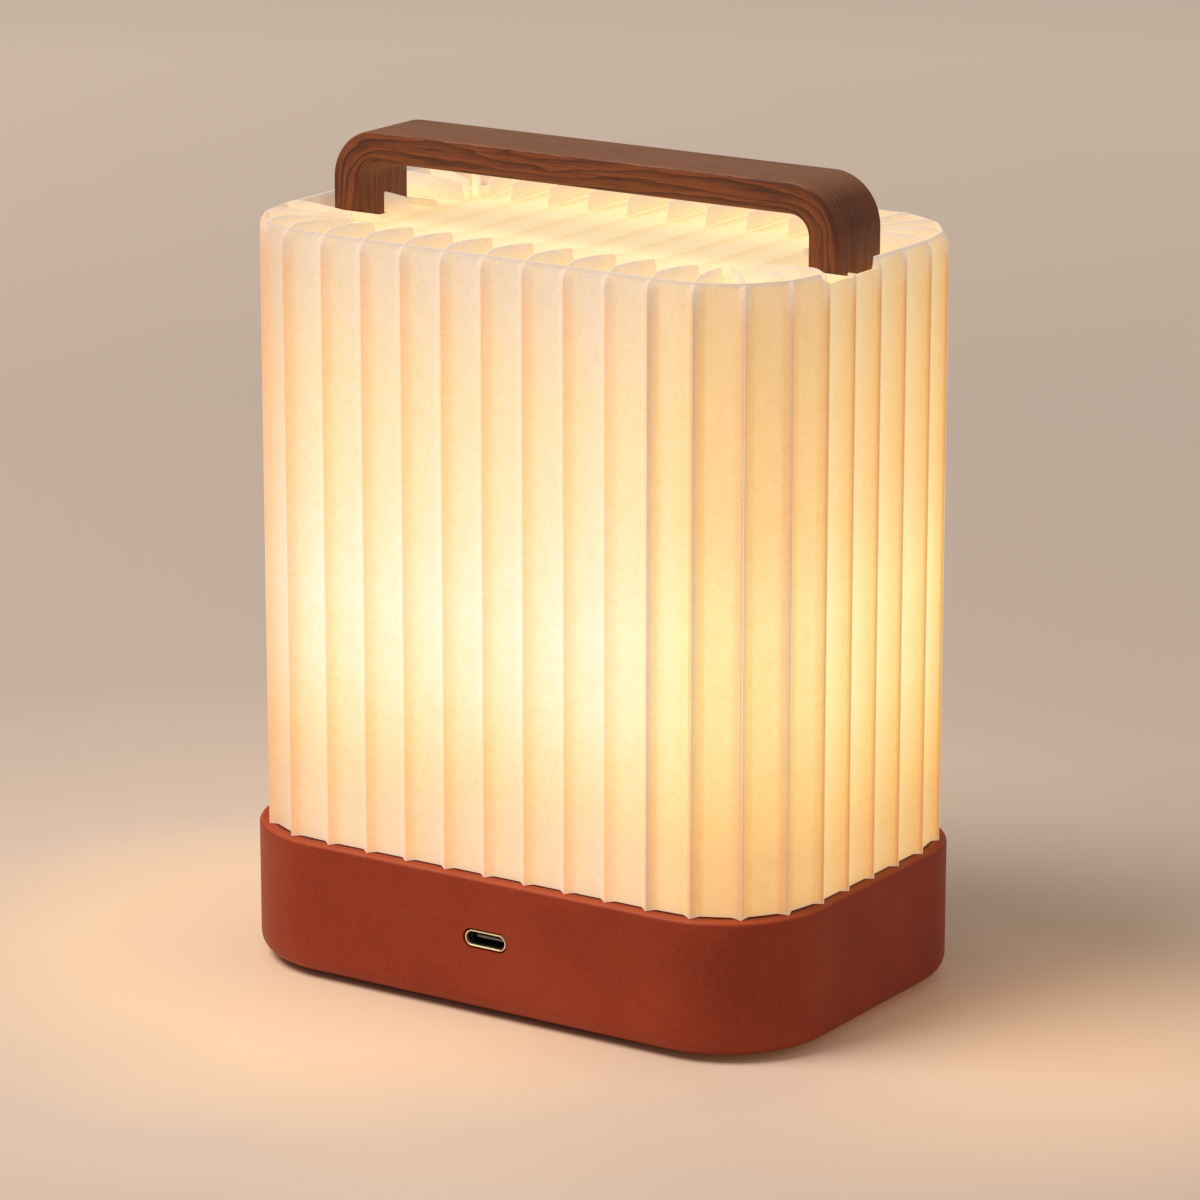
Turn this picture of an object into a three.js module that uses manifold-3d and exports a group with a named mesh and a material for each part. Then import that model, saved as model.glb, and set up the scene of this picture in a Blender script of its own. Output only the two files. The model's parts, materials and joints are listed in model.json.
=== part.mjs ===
// Pleated lantern lamp: a rechargeable table lamp with a wrapped base, a pleated shade and a wooden handle.
// Millimetres, +Z up. The origin is the middle of the footprint, at table height. The front faces -Y.
import * as THREE from 'three';
import { mergeVertices } from 'three/addons/utils/BufferGeometryUtils.js';
import Module from 'manifold-3d';

const wasm = await Module();
wasm.setup();

// Shared clearances
const fit = 0.3; // between two pieces that seat on or in each other
const overrun = 1; // how far a cutting tool runs past what it cuts

// Base: the outline that everything follows, its leather sleeve, the moulded shell and the bottom cover
const base = { length: 140, depth: 92, cornerRadius: 25, underside: 1.2 };
const wrap = { thickness: 1.2, bottomFillet: 4, topEdge: 1, bottomFlange: 6 };
const shell = { wall: 2, deck: 2.3, footFlange: 8, footThickness: 2 };
const boss = { radius: 3.5, inset: 16 };
const cover = { thickness: 1.2, padRise: 1.2 };
const standoff = { radius: 2.5 };
const coverScrew = { shank: 1.15, head: 2.4, headHeight: 0.9, bite: 8 };
const foot = { radius: 5, insetX: 28, insetY: 15, recess: 0.6 };

// Power: one cylindrical cell in a cradle, and the charging board with its socket
const cell = { radius: 9.2, length: 65, nubRadius: 2.8, nubLength: 1.5, headroom: 3.1 };
const cradle = { wall: 1.5, endWall: 1.6, floor: 1.2, behind: 3.4 };
const contact = { radius: 6, thickness: 0.4 };
const board = { length: 34, depth: 24, thickness: 1.6 };
const chip = { side: 5, height: 1.1, offset: 8 };
const socket = {
  height: 17.4, offset: 1.2, length: 8.94, thickness: 3.26, wall: 0.3, cavity: 6.2, backWall: 1.4,
};
const tongue = { sideGap: 0.82, thickness: 0.7, recess: 0.7 };
const socketRing = { overLength: 1.66, overThickness: 0.54, wall: 0.45, recess: 0.2 };

// Push button in the back wall, and the switch behind it
const button = { radius: 4.5, height: 17.4, recess: 0.4, rim: 1.1, rimThickness: 1, stemRadius: 2, stem: 1.4 };
const buttonRing = { wall: 1, recess: 0.2 };
const push = { travel: 0.6 };
const plunger = { radius: 1.7, proud: 1.1, seat: 0.7 };
const switchBody = { side: 6, depth: 3.4 };
const switchBoard = { length: 22, height: 12, thickness: 1.6 };
const switchRib = { width: 4.4, slot: 2, behind: 1.6, below: 0.6 };
const switchRest = { length: 6, depth: 4 };

// Light column on the deck
const mast = { side: 9, above: 4, footThickness: 2, footRim: 1, footEnd: 3, screwGap: 4 };
const strip = { width: 7, thickness: 1.2, height: 62, start: 8 };
const emitter = { side: 3, depth: 0.9, spacing: 30, count: 2 };
const tube = { radius: 14, wall: 1.5, headroom: 6.4, topThickness: 1.6 };
const smallScrew = { shank: 1.3, head: 2.3, headHeight: 1.2 };
const wireHole = { radius: 2.2 };
const wire = { radius: 0.6, sides: 8, steps: 20 };

// Shade: pleated skin, smooth liner, two frames, two posts and the top plate
const shade = { inset: 2.8, skin: 0.5, liner: 0.7, height: 132.2 };
const pleat = {
  count: 40,
  depth: 1.3, // how far a pleat stands out of its panel
  root: 3.1, // its width where it leaves the panel
  ply: 0.7, // two layers of paper, at its edge and over the top
  reach: 18.3, // how far it runs inwards over the top
  crown: 0.8, // its height over the panel's top edge
  crownDrop: 0.4, // the fall of its top edge towards the middle
  shoulderRise: 3.1,
  shoulderRun: 6.7,
};
const topPlate = { drop: 4.5, thickness: 1 };
const frame = { band: 2.4, height: 3, lowerHeight: 6.2 };
const lug = { reach: 11.4, inset: 0.1 };
const post = { thickness: 2.5, width: 5.6, flange: 2.5 };
const postTop = { reach: 8.7, inset: 0.6 };
const postFoot = { reach: 12.5, width: 10, screwFromEnd: 4 };

// Handle
const handle = {
  inset: 7.2, // the outer faces of its legs, from the ends of the base
  width: 18.2,
  thickness: 6.6,
  rise: 15.1, // its top, over the panels' top edge
  cornerRadius: 11,
  edge: 0.8,
  notchDepth: 2.5, // the ends of the shade are cut down by this for the legs
};
const handleScrew = { shank: 1.25, head: 2.3, headHeight: 1.3, edge: 3.5, bite: 4.5 };
const insert = { radius: 1.9, length: 5 };

// Counts of facets
const facets = { corner: 6, fillet: 3, round: 24, small: 16, tiny: 10, arc: 4 };

// Levels and places that follow from the sizes above
const halfLength = base.length / 2;
const halfDepth = base.depth / 2;
const coverTop = base.underside + cover.thickness;
const padTop = coverTop + fit + cover.padRise;
const cellZ = padTop + cradle.floor + fit + cell.radius;
const deckUnder = cellZ + cell.radius + cell.headroom;
const deckTop = deckUnder + shell.deck;
const baseHeight = deckTop + fit + wrap.thickness;
const shellInset = wrap.thickness + fit;
const innerInset = shellInset + shell.wall;
const bossX = halfLength - boss.inset;
const bossY = halfDepth - boss.inset;

const boardTop = socket.height - socket.thickness / 2;
const boardUnder = boardTop - board.thickness;
const boardFront = -halfDepth + innerInset + fit;
const boardY = boardFront + board.depth / 2;
const standoffX = board.length / 2 - standoff.radius;
const standoffYs = [
  -halfDepth + shell.footFlange + fit + standoff.radius,
  boardFront + board.depth - standoff.radius,
];
const socketFace = -halfDepth + shellInset;
const tongueHalf = socket.length / 2 - socket.wall - tongue.sideGap;
const ringLength = socket.length + socketRing.overLength;
const ringThickness = socket.thickness + socketRing.overThickness;

// Front face of each piece behind the button, from the wall inwards
const rimFace = halfDepth - innerInset - fit;
const plungerTip = rimFace - button.rimThickness - button.stem - fit;
const switchFace = plungerTip - plunger.proud;
const switchBoardFace = switchFace - switchBody.depth;
const switchBoardBack = switchBoardFace - switchBoard.thickness;
const ribInner = switchBoardBack - fit - switchRib.behind;
const ribX = switchBoard.length / 2 + fit - switchRib.slot + switchRib.width / 2;
const switchBoardUnder = button.height - switchBoard.height / 2;

const cradleHalf = cell.radius + fit + cradle.wall;
const cellY = switchBoardBack - cradle.behind - cradleHalf;
const contactX = cell.length / 2 + fit;
const cradleInner = contactX + contact.thickness + fit;
const cradleOuter = cradleInner + cradle.endWall;
const leadDrop = wire.radius * 2;

const mastFoot = deckTop + mast.footThickness;
const mastTop = mastFoot + strip.start + strip.height + mast.above;
const spreaderScrewX = tube.radius + mast.screwGap;
const wireHoleY = -mast.side / 2 - strip.thickness - wireHole.radius;
const stripFoot = mastFoot + strip.start;

const skinFoot = baseHeight + fit;
const panelTop = skinFoot + shade.height;
const linerInset = shade.inset + shade.skin + fit;
const frameInset = linerInset + shade.liner + fit;
const plateTop = panelTop - topPlate.drop;
const plateUnder = plateTop - topPlate.thickness;
const frameUnder = plateUnder - frame.height;
const bladeUnder = plateTop + fit;
const postOuter = halfLength - frameInset - frame.band - fit;
const postScrewX = postOuter - postFoot.reach + postFoot.screwFromEnd;
const legOuter = halfLength - handle.inset;
const legInner = legOuter - handle.thickness;
const legX = legOuter - handle.thickness / 2;
const handleTop = panelTop + handle.rise;
const handleUnder = handleTop - handle.thickness;
const handleScrewY = handle.width / 2 - handleScrew.edge;
const notchLevel = panelTop - handle.notchDepth;

// Materials
const finish = (color, roughness, metalness = 0, opacity = 1) =>
  new THREE.MeshStandardMaterial({ color, roughness, metalness, opacity, transparent: opacity < 1 });
const materials = {
  leather: finish('#9c3c20', 0.6),
  moulding: finish('#2c2a29', 0.55),
  rubber: finish('#1c1b1a', 0.85),
  steel: finish('#c9c6bf', 0.3, 1),
  brass: finish('#c9a25a', 0.35, 1),
  aluminium: finish('#c4c6c8', 0.45, 1),
  nickel: finish('#b9b6ac', 0.35, 1),
  walnut: finish('#6b3a22', 0.5),
  paper: finish('#f7e6c8', 0.8),
  opal: finish('#fff3dc', 0.4),
  clear: finish('#eef3f2', 0.15, 0, 0.5),
  circuit: finish('#1f5a3a', 0.5),
  white: finish('#f2f0ea', 0.5),
  phosphor: finish('#f4d25c', 0.5),
  black: finish('#101010', 0.5),
  red: finish('#b3261e', 0.5),
  cellSleeve: finish('#3b6ea8', 0.45),
};

// Geometry helpers

// Points of a rounded rectangle, counterclockwise, set in from the base outline.
function outline(inset) {
  const radius = base.cornerRadius - inset;
  const x = halfLength - base.cornerRadius;
  const y = halfDepth - base.cornerRadius;
  const corners = [[x, y], [-x, y], [-x, -y], [x, -y]];
  return corners.flatMap(([cx, cy], corner) =>
    Array.from({ length: facets.corner + 1 }, (_, step) => {
      const angle = (Math.PI / 2) * (corner + step / facets.corner);
      return new THREE.Vector2(cx + radius * Math.cos(angle), cy + radius * Math.sin(angle));
    }));
}

function meshData(positions, faces) {
  const geometry = new THREE.BufferGeometry();
  geometry.setAttribute('position', new THREE.Float32BufferAttribute(positions, 3));
  geometry.setIndex(faces);
  return geometry;
}

// Turns the faces round if the closed mesh is inside out.
function facingOut(geometry) {
  const points = geometry.getAttribute('position');
  const index = geometry.getIndex().array;
  const [a, b, c] = [new THREE.Vector3(), new THREE.Vector3(), new THREE.Vector3()];
  let volume = 0;
  for (let i = 0; i < index.length; i += 3) {
    a.fromBufferAttribute(points, index[i]);
    b.fromBufferAttribute(points, index[i + 1]);
    c.fromBufferAttribute(points, index[i + 2]);
    volume += a.dot(b.cross(c));
  }
  if (volume < 0) {
    for (let i = 0; i < index.length; i += 3) [index[i + 1], index[i + 2]] = [index[i + 2], index[i + 1]];
  }
  return geometry;
}

// A closed section of [inset, z] points carried round the base outline.
function sweptRing(section) {
  const count = outline(0).length;
  const positions = [];
  const faces = [];
  section.forEach(([inset, z]) => outline(inset).forEach((p) => positions.push(p.x, p.y, z)));
  section.forEach((_, row) => {
    const next = (row + 1) % section.length;
    for (let i = 0; i < count; i++) {
      const j = (i + 1) % count;
      const [a, b] = [row * count + i, row * count + j];
      const [c, d] = [next * count + j, next * count + i];
      faces.push(a, b, c, a, c, d);
    }
  });
  return facingOut(meshData(positions, faces));
}

// An upright band between two insets and two levels.
const band = (outer, inner, z0, z1) => sweptRing([[outer, z0], [outer, z1], [inner, z1], [inner, z0]]);

function solid(geometry) {
  const bare = geometry.clone();
  bare.deleteAttribute('normal');
  bare.deleteAttribute('uv');
  const merged = mergeVertices(bare);
  const triVerts = new Uint32Array(merged.index.array);
  const vertProperties = new Float32Array(merged.attributes.position.array);
  return new wasm.Manifold(new wasm.Mesh({ numProp: 3, vertProperties, triVerts }));
}

const joined = (...geometries) => geometries.map(solid).reduce((all, next) => all.add(next));
const cut = (body, ...tools) => tools.map(solid).reduce((left, tool) => left.subtract(tool), body);

function fromSolid(body) {
  const { vertProperties, triVerts, numProp } = body.getMesh();
  const positions = [];
  for (let i = 0; i < vertProperties.length; i += numProp) positions.push(...vertProperties.slice(i, i + 3));
  return meshData(positions, Array.from(triVerts));
}

// Box between two corners.
function block([x0, y0, z0], [x1, y1, z1]) {
  const geometry = new THREE.BoxGeometry(Math.abs(x1 - x0), Math.abs(y1 - y0), Math.abs(z1 - z0));
  return geometry.translate((x0 + x1) / 2, (y0 + y1) / 2, (z0 + z1) / 2);
}

// Box centred on x and y, between two levels.
const pad = (x, y, length, depth, z0, z1) =>
  block([x - length / 2, y - depth / 2, z0], [x + length / 2, y + depth / 2, z1]);

function rodZ(radius, x, y, z0, z1, sides = facets.small) {
  const geometry = new THREE.CylinderGeometry(radius, radius, z1 - z0, sides);
  return geometry.rotateX(Math.PI / 2).translate(x, y, (z0 + z1) / 2);
}

function rodY(radius, x, z, y0, y1, sides = facets.round) {
  return new THREE.CylinderGeometry(radius, radius, y1 - y0, sides).translate(x, (y0 + y1) / 2, z);
}

function rodX(radius, y, z, x0, x1, sides = facets.round) {
  const geometry = new THREE.CylinderGeometry(radius, radius, x1 - x0, sides);
  return geometry.rotateZ(Math.PI / 2).translate((x0 + x1) / 2, y, z);
}

// A solid that fills the outline at an inset, between two levels.
function slab(inset, z0, z1) {
  const shape = new THREE.Shape(outline(inset));
  return new THREE.ExtrudeGeometry(shape, { depth: z1 - z0, bevelEnabled: false }).translate(0, 0, z0);
}

// A shape drawn in x and z, made solid between two y values.
function alongY(shape, y0, y1, bevel = 0) {
  const options = {
    depth: y1 - y0 - 2 * bevel,
    curveSegments: facets.arc,
    bevelEnabled: bevel > 0,
    bevelSize: bevel,
    bevelThickness: bevel,
    bevelOffset: -bevel,
    bevelSegments: 1,
  };
  return new THREE.ExtrudeGeometry(shape, options).rotateX(Math.PI / 2).translate(0, y1 - bevel, 0);
}

// Slot with round ends, in x and z.
function slot(length, thickness, x, z) {
  const radius = thickness / 2;
  const run = length / 2 - radius;
  const shape = new THREE.Shape();
  shape.absarc(x + run, z, radius, -Math.PI / 2, Math.PI / 2, false);
  shape.absarc(x - run, z, radius, Math.PI / 2, (Math.PI * 3) / 2, false);
  return shape;
}

// Round solid about the z axis, from [radius, z] points that start and end on the axis.
function turned(profile, segments = facets.tiny) {
  const points = profile.map(([r, z]) => new THREE.Vector2(r, z));
  const geometry = new THREE.LatheGeometry(points, segments).rotateX(Math.PI / 2);
  geometry.deleteAttribute('normal');
  geometry.deleteAttribute('uv');
  return facingOut(mergeVertices(geometry));
}

// Screw with its head down and its shank rising from the head's seat at z 0.
function screwUp({ shank, head, headHeight }, length) {
  return turned([
    [0, -headHeight], [head, -headHeight], [head, 0], [shank, 0], [shank, length], [0, length],
  ]);
}

const screwDown = (size, length) => screwUp(size, length).rotateX(Math.PI);

// A wire along points that are chosen by hand.
function wireAlong(points) {
  const path = new THREE.CatmullRomCurve3(points.map((p) => new THREE.Vector3(...p)), false, 'centripetal');
  const section = Array.from({ length: wire.sides }, (_, i) => {
    const angle = (2 * Math.PI * i) / wire.sides;
    return new THREE.Vector2(wire.radius * Math.cos(angle), wire.radius * Math.sin(angle));
  });
  const shape = new THREE.Shape(section);
  return new THREE.ExtrudeGeometry(shape, { steps: wire.steps, extrudePath: path });
}

const lamp = new THREE.Group();
function add(name, geometry, material) {
  const mesh = new THREE.Mesh(geometry, material);
  mesh.name = name;
  lamp.add(mesh);
}

const sides = [-1, 1];
const corners = sides.flatMap((sx) => sides.map((sy) => [sx, sy]));
const sideName = (side) => (side < 0 ? 'left' : 'right');
const cornerName = ([sx, sy]) => `${sideName(sx)}_${sy < 0 ? 'front' : 'back'}`;

// Base sleeve, shell and cover

// Quarter turn between two angles, as [inset, z] points, round a centre at an inset and a level.
function filletPoints(centreInset, centreZ, radius, from, to) {
  return Array.from({ length: facets.fillet + 1 }, (_, i) => {
    const angle = from + ((to - from) * i) / facets.fillet;
    return [centreInset - radius * Math.cos(angle), centreZ + radius * Math.sin(angle)];
  });
}

const filletZ = base.underside + wrap.bottomFillet;
const bossPlaces = corners.map(([sx, sy]) => [sx * bossX, sy * bossY]);
const footPlaces = corners.map(([sx, sy]) =>
  [sx * (halfLength - foot.insetX), sy * (halfDepth - foot.insetY)]);
const socketHole = (length, thickness, y0, y1) =>
  alongY(slot(length + 2 * fit, thickness + 2 * fit, socket.offset, socket.height), y0, y1);

function wrapGeometry() {
  const edgeZ = baseHeight - wrap.topEdge;
  const flange = frameInset - fit;
  const section = [
    [wrap.bottomFlange, base.underside],
    ...filletPoints(wrap.bottomFillet, filletZ, wrap.bottomFillet, -Math.PI / 2, 0),
    ...filletPoints(wrap.topEdge, edgeZ, wrap.topEdge, 0, Math.PI / 2),
    [flange, baseHeight],
    [flange, baseHeight - wrap.thickness],
    [wrap.thickness, baseHeight - wrap.thickness],
    ...filletPoints(wrap.bottomFillet, filletZ, wrap.bottomFillet - wrap.thickness, 0, -Math.PI / 2),
    [wrap.bottomFlange, base.underside + wrap.thickness],
  ];
  const front = socketHole(ringLength, ringThickness, -halfDepth - overrun, -halfDepth + shellInset);
  const holeRadius = button.radius + fit + buttonRing.wall + fit;
  const back = rodY(holeRadius, 0, button.height, halfDepth - shellInset, halfDepth + overrun);
  return fromSolid(cut(solid(sweptRing(section)), front, back));
}

function shellGeometry() {
  const outerFillet = wrap.bottomFillet - shellInset;
  const innerFillet = outerFillet - shell.wall / 2;
  const footZ = coverTop + fit;
  const section = [
    [shell.footFlange, footZ],
    ...filletPoints(wrap.bottomFillet, filletZ, outerFillet, -Math.PI / 2, 0),
    [shellInset, deckTop],
    [shell.footFlange, deckTop],
    [shell.footFlange, deckUnder],
    [innerInset, deckUnder],
    [innerInset, filletZ + innerFillet],
    [shell.footFlange, footZ + shell.footThickness],
  ];
  const deck = slab(innerInset, deckUnder, deckTop);
  const bosses = bossPlaces.map(([x, y]) => rodZ(boss.radius, x, y, padTop + fit, deckTop - shell.deck / 2));
  const ribs = sides.map((side) => block(
    [side * (ribX - switchRib.width / 2), ribInner, switchBoardUnder - switchRib.below],
    [side * (ribX + switchRib.width / 2), halfDepth - innerInset + shell.wall / 2,
      deckTop - shell.deck / 2]));
  const ribSlots = block(
    [-switchBoard.length / 2 - fit, switchBoardBack - fit, switchBoardUnder - switchRib.below - overrun],
    [switchBoard.length / 2 + fit, switchBoardFace + fit, switchBoardUnder + switchBoard.height + fit]);
  const front = socketHole(socket.length, socket.thickness, -halfDepth, -halfDepth + innerInset + overrun);
  const back = rodY(button.radius + fit, 0, button.height, halfDepth - innerInset - overrun, halfDepth);
  const bossBores = bossPlaces.map(([x, y]) =>
    rodZ(coverScrew.shank + fit, x, y, base.underside, padTop + coverScrew.bite + fit, facets.tiny));
  const throughDeck = (radius, x, y) =>
    rodZ(radius, x, y, deckUnder - overrun, deckTop + overrun, facets.tiny);
  const deckHoles = [
    throughDeck(wireHole.radius, 0, wireHoleY),
    ...sides.map((side) => throughDeck(smallScrew.shank + fit, side * spreaderScrewX, 0)),
    ...sides.map((side) => throughDeck(smallScrew.shank + fit, side * postScrewX, 0)),
  ];
  const body = joined(sweptRing(section), deck, ...bosses, ...ribs);
  return fromSolid(cut(body, ribSlots, front, back, ...bossBores, ...deckHoles));
}

function coverGeometry() {
  const sheet = slab(wrap.bottomFlange + fit, base.underside, coverTop);
  const raised = slab(shell.footFlange + fit, base.underside, padTop);
  const standoffs = sides.flatMap((side) => standoffYs.map((y) =>
    rodZ(standoff.radius, socket.offset + side * standoffX, y, base.underside, boardUnder)));
  const rest = pad(0, switchBoardBack + switchBoard.thickness / 2, switchRest.length, switchRest.depth,
    base.underside, switchBoardUnder);
  const bores = bossPlaces.map(([x, y]) =>
    rodZ(coverScrew.shank + fit, x, y, 0, padTop + overrun, facets.tiny));
  const headSeats = bossPlaces.map(([x, y]) =>
    rodZ(coverScrew.head + fit, x, y, 0, base.underside + coverScrew.headHeight));
  const footSeats = footPlaces.map(([x, y]) =>
    rodZ(foot.radius + fit, x, y, 0, base.underside + foot.recess, facets.round));
  return fromSolid(cut(joined(sheet, raised, ...standoffs, rest), ...bores, ...headSeats, ...footSeats));
}

add('base_wrap', wrapGeometry(), materials.leather);
add('base_shell', shellGeometry(), materials.moulding);
add('bottom_cover', coverGeometry(), materials.moulding);
corners.forEach((corner, i) => {
  const [x, y] = bossPlaces[i];
  const seat = base.underside + coverScrew.headHeight;
  const length = padTop + coverScrew.bite - seat;
  const screw = screwUp(coverScrew, length).translate(x, y, seat);
  add(`cover_screw_${cornerName(corner)}`, screw, materials.steel);
});
corners.forEach((corner, i) => {
  const [x, y] = footPlaces[i];
  const top = base.underside + foot.recess;
  add(`foot_${cornerName(corner)}`, rodZ(foot.radius, x, y, 0, top, facets.round), materials.rubber);
});

// Cell, cradle and contacts

function cellGeometry() {
  const half = cell.length / 2;
  const shoulder = half - cell.nubLength;
  const profile = [[0, -half], [cell.radius, -half], [cell.radius, shoulder],
    [cell.nubRadius, shoulder], [cell.nubRadius, half], [0, half]];
  return turned(profile, facets.round).rotateY(Math.PI / 2).translate(0, cellY, cellZ);
}

function cradleGeometry() {
  const body = pad(0, cellY, 2 * cradleOuter, 2 * cradleHalf, padTop, cellZ);
  const trough = rodX(cell.radius + fit, cellY, cellZ, -cradleInner, cradleInner);
  const leadWidth = 2 * (wire.radius + fit);
  const leadSlot = pad(0, cellY, 2 * (cradleOuter + overrun), leadWidth,
    cellZ - leadDrop - wire.radius - fit, cellZ + overrun);
  return fromSolid(cut(solid(body), trough, leadSlot));
}

add('battery_cell', cellGeometry(), materials.cellSleeve);
add('battery_cradle', cradleGeometry(), materials.moulding);
sides.forEach((side) => {
  const [near, far] = [side * contactX, side * (contactX + contact.thickness)];
  const disc = rodX(contact.radius, cellY, cellZ, Math.min(near, far), Math.max(near, far), facets.small);
  add(`battery_contact_${sideName(side)}`, disc, materials.nickel);
});

// Charging board, socket and its trim ring

function socketGeometry() {
  const body = alongY(slot(socket.length, socket.thickness, socket.offset, socket.height),
    socketFace, socketFace + socket.cavity + socket.backWall);
  const inner = slot(socket.length - 2 * socket.wall, socket.thickness - 2 * socket.wall,
    socket.offset, socket.height);
  return fromSolid(cut(solid(body), alongY(inner, socketFace - overrun, socketFace + socket.cavity)));
}

function socketRingGeometry() {
  const face = -halfDepth + socketRing.recess;
  const back = -halfDepth + wrap.thickness;
  const outer = alongY(slot(ringLength, ringThickness, socket.offset, socket.height), face, back);
  const inner = slot(ringLength - 2 * socketRing.wall, ringThickness - 2 * socketRing.wall,
    socket.offset, socket.height);
  return fromSolid(cut(solid(outer), alongY(inner, face - overrun, back + overrun)));
}

add('charge_board',
  pad(socket.offset, boardY, board.length, board.depth, boardUnder, boardTop), materials.circuit);
add('charge_chip',
  pad(socket.offset - chip.offset, boardY, chip.side, chip.side, boardTop, boardTop + chip.height),
  materials.black);
add('socket_shell', socketGeometry(), materials.nickel);
add('socket_tongue',
  block(
    [socket.offset - tongueHalf, socketFace + tongue.recess, socket.height - tongue.thickness / 2],
    [socket.offset + tongueHalf, socketFace + socket.cavity, socket.height + tongue.thickness / 2]),
  materials.black);
add('socket_ring', socketRingGeometry(), materials.brass);

// Push button and switch

function buttonGeometry() {
  const rimBack = rimFace - button.rimThickness;
  const middle = rimFace - button.rimThickness / 2;
  const cap = rodY(button.radius, 0, button.height, middle, halfDepth - button.recess);
  const rim = rodY(button.radius + button.rim, 0, button.height, rimBack, rimFace);
  const stem = rodY(button.stemRadius, 0, button.height, rimBack - button.stem, middle, facets.small);
  return fromSolid(joined(cap, rim, stem));
}

function buttonRingGeometry() {
  const outerRadius = button.radius + fit + buttonRing.wall;
  const [back, face] = [halfDepth - wrap.thickness, halfDepth - buttonRing.recess];
  const outer = rodY(outerRadius, 0, button.height, back, face);
  const inner = rodY(button.radius + fit, 0, button.height, back - overrun, face + overrun);
  return fromSolid(cut(solid(outer), inner));
}

function switchGeometry() {
  const boreDepth = plunger.seat + push.travel + fit;
  const body = block(
    [-switchBody.side / 2, switchBoardFace, button.height - switchBody.side / 2],
    [switchBody.side / 2, switchFace, button.height + switchBody.side / 2]);
  const bore = rodY(plunger.radius + fit, 0, button.height, switchFace - boreDepth, switchFace + overrun,
    facets.small);
  return fromSolid(cut(solid(body), bore));
}

add('power_button', buttonGeometry(), materials.brass);
add('button_ring', buttonRingGeometry(), materials.brass);
add('switch_body', switchGeometry(), materials.black);
add('switch_plunger',
  rodY(plunger.radius, 0, button.height, switchFace - plunger.seat, plungerTip, facets.small),
  materials.white);
add('switch_board',
  block(
    [-switchBoard.length / 2, switchBoardBack, switchBoardUnder],
    [switchBoard.length / 2, switchBoardFace, switchBoardUnder + switchBoard.height]),
  materials.circuit);

// Light column: heat spreader, light strips and the opal tube over them

function mastGeometry() {
  const plateFoot = pad(0, 0, 2 * (spreaderScrewX + mast.footEnd), 2 * (tube.radius + mast.footRim),
    deckTop, mastFoot);
  const column = pad(0, 0, mast.side, mast.side, deckTop, mastTop);
  const holes = sides.map((side) =>
    rodZ(smallScrew.shank + fit, side * spreaderScrewX, 0, deckTop - overrun, mastFoot + overrun,
      facets.tiny));
  const leadHole = rodZ(wireHole.radius, 0, wireHoleY, deckTop - overrun, mastFoot + overrun);
  return fromSolid(cut(joined(plateFoot, column), ...holes, leadHole));
}

function tubeGeometry() {
  const under = mastTop + tube.headroom;
  const top = under + tube.topThickness;
  const inner = tube.radius - tube.wall;
  const profile = [[0, under], [inner, under], [inner, mastFoot],
    [tube.radius, mastFoot], [tube.radius, top], [0, top]];
  return turned(profile, facets.round);
}

add('heat_spreader', mastGeometry(), materials.aluminium);
sides.forEach((side) => {
  const face = side * (mast.side / 2 + strip.thickness);
  const place = side < 0 ? 'front' : 'back';
  add(`light_strip_${place}`,
    block([-strip.width / 2, (side * mast.side) / 2, stripFoot],
      [strip.width / 2, face, stripFoot + strip.height]),
    materials.white);
  for (let i = 0; i < emitter.count; i++) {
    const z = stripFoot + strip.height / 2 + (i - (emitter.count - 1) / 2) * emitter.spacing;
    add(`emitter_${place}_${i + 1}`,
      block([-emitter.side / 2, face, z - emitter.side / 2],
        [emitter.side / 2, face + side * emitter.depth, z + emitter.side / 2]),
      materials.phosphor);
  }
});
sides.forEach((side) => {
  const length = mast.footThickness + shell.deck;
  const screw = screwDown(smallScrew, length).translate(side * spreaderScrewX, 0, mastFoot);
  add(`spreader_screw_${sideName(side)}`, screw, materials.steel);
});
add('diffuser_tube', tubeGeometry(), materials.opal);

// Shade frames and posts

const handleBores = (z0, z1) => corners.map(([sx, sy]) =>
  rodZ(handleScrew.shank + fit, sx * legX, sy * handleScrewY, z0 - overrun, z1 + overrun, facets.tiny));

function upperFrameGeometry() {
  const ring = band(frameInset, frameInset + frame.band, frameUnder, plateUnder);
  const lugOuter = halfLength - frameInset - frame.band / 2;
  const lugHalf = handle.width / 2 - lug.inset;
  const lugs = sides.map((side) => block(
    [side * (lugOuter + frame.band / 2 - lug.reach), -lugHalf, frameUnder],
    [side * lugOuter, lugHalf, plateUnder]));
  return fromSolid(cut(joined(ring, ...lugs), ...handleBores(frameUnder, plateUnder)));
}

function postGeometry(side) {
  const webInner = postOuter - post.thickness;
  const topHalf = handle.width / 2 - postTop.inset;
  const web = block(
    [side * webInner, -post.width / 2, deckTop],
    [side * postOuter, post.width / 2, frameUnder]);
  const top = block(
    [side * (postOuter - postTop.reach), -topHalf, frameUnder - post.flange],
    [side * postOuter, topHalf, frameUnder]);
  const bottom = block(
    [side * (postOuter - postFoot.reach), -postFoot.width / 2, deckTop],
    [side * postOuter, postFoot.width / 2, deckTop + post.flange]);
  const bore = rodZ(smallScrew.shank + fit, side * postScrewX, 0,
    deckTop - overrun, deckTop + post.flange + overrun, facets.tiny);
  const body = joined(web, top, bottom);
  return fromSolid(cut(body, bore, ...handleBores(frameUnder - post.flange, frameUnder)));
}

add('lower_frame',
  band(frameInset, frameInset + frame.band, deckTop, deckTop + frame.lowerHeight), materials.white);
add('upper_frame', upperFrameGeometry(), materials.white);
sides.forEach((side) => {
  add(`post_${sideName(side)}`, postGeometry(side), materials.clear);
  const screw = screwDown(smallScrew, post.flange + shell.deck);
  add(`post_screw_${sideName(side)}`, screw.translate(side * postScrewX, 0, deckTop + post.flange),
    materials.steel);
});

// Shade: liner, pleated skin and top plate

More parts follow.
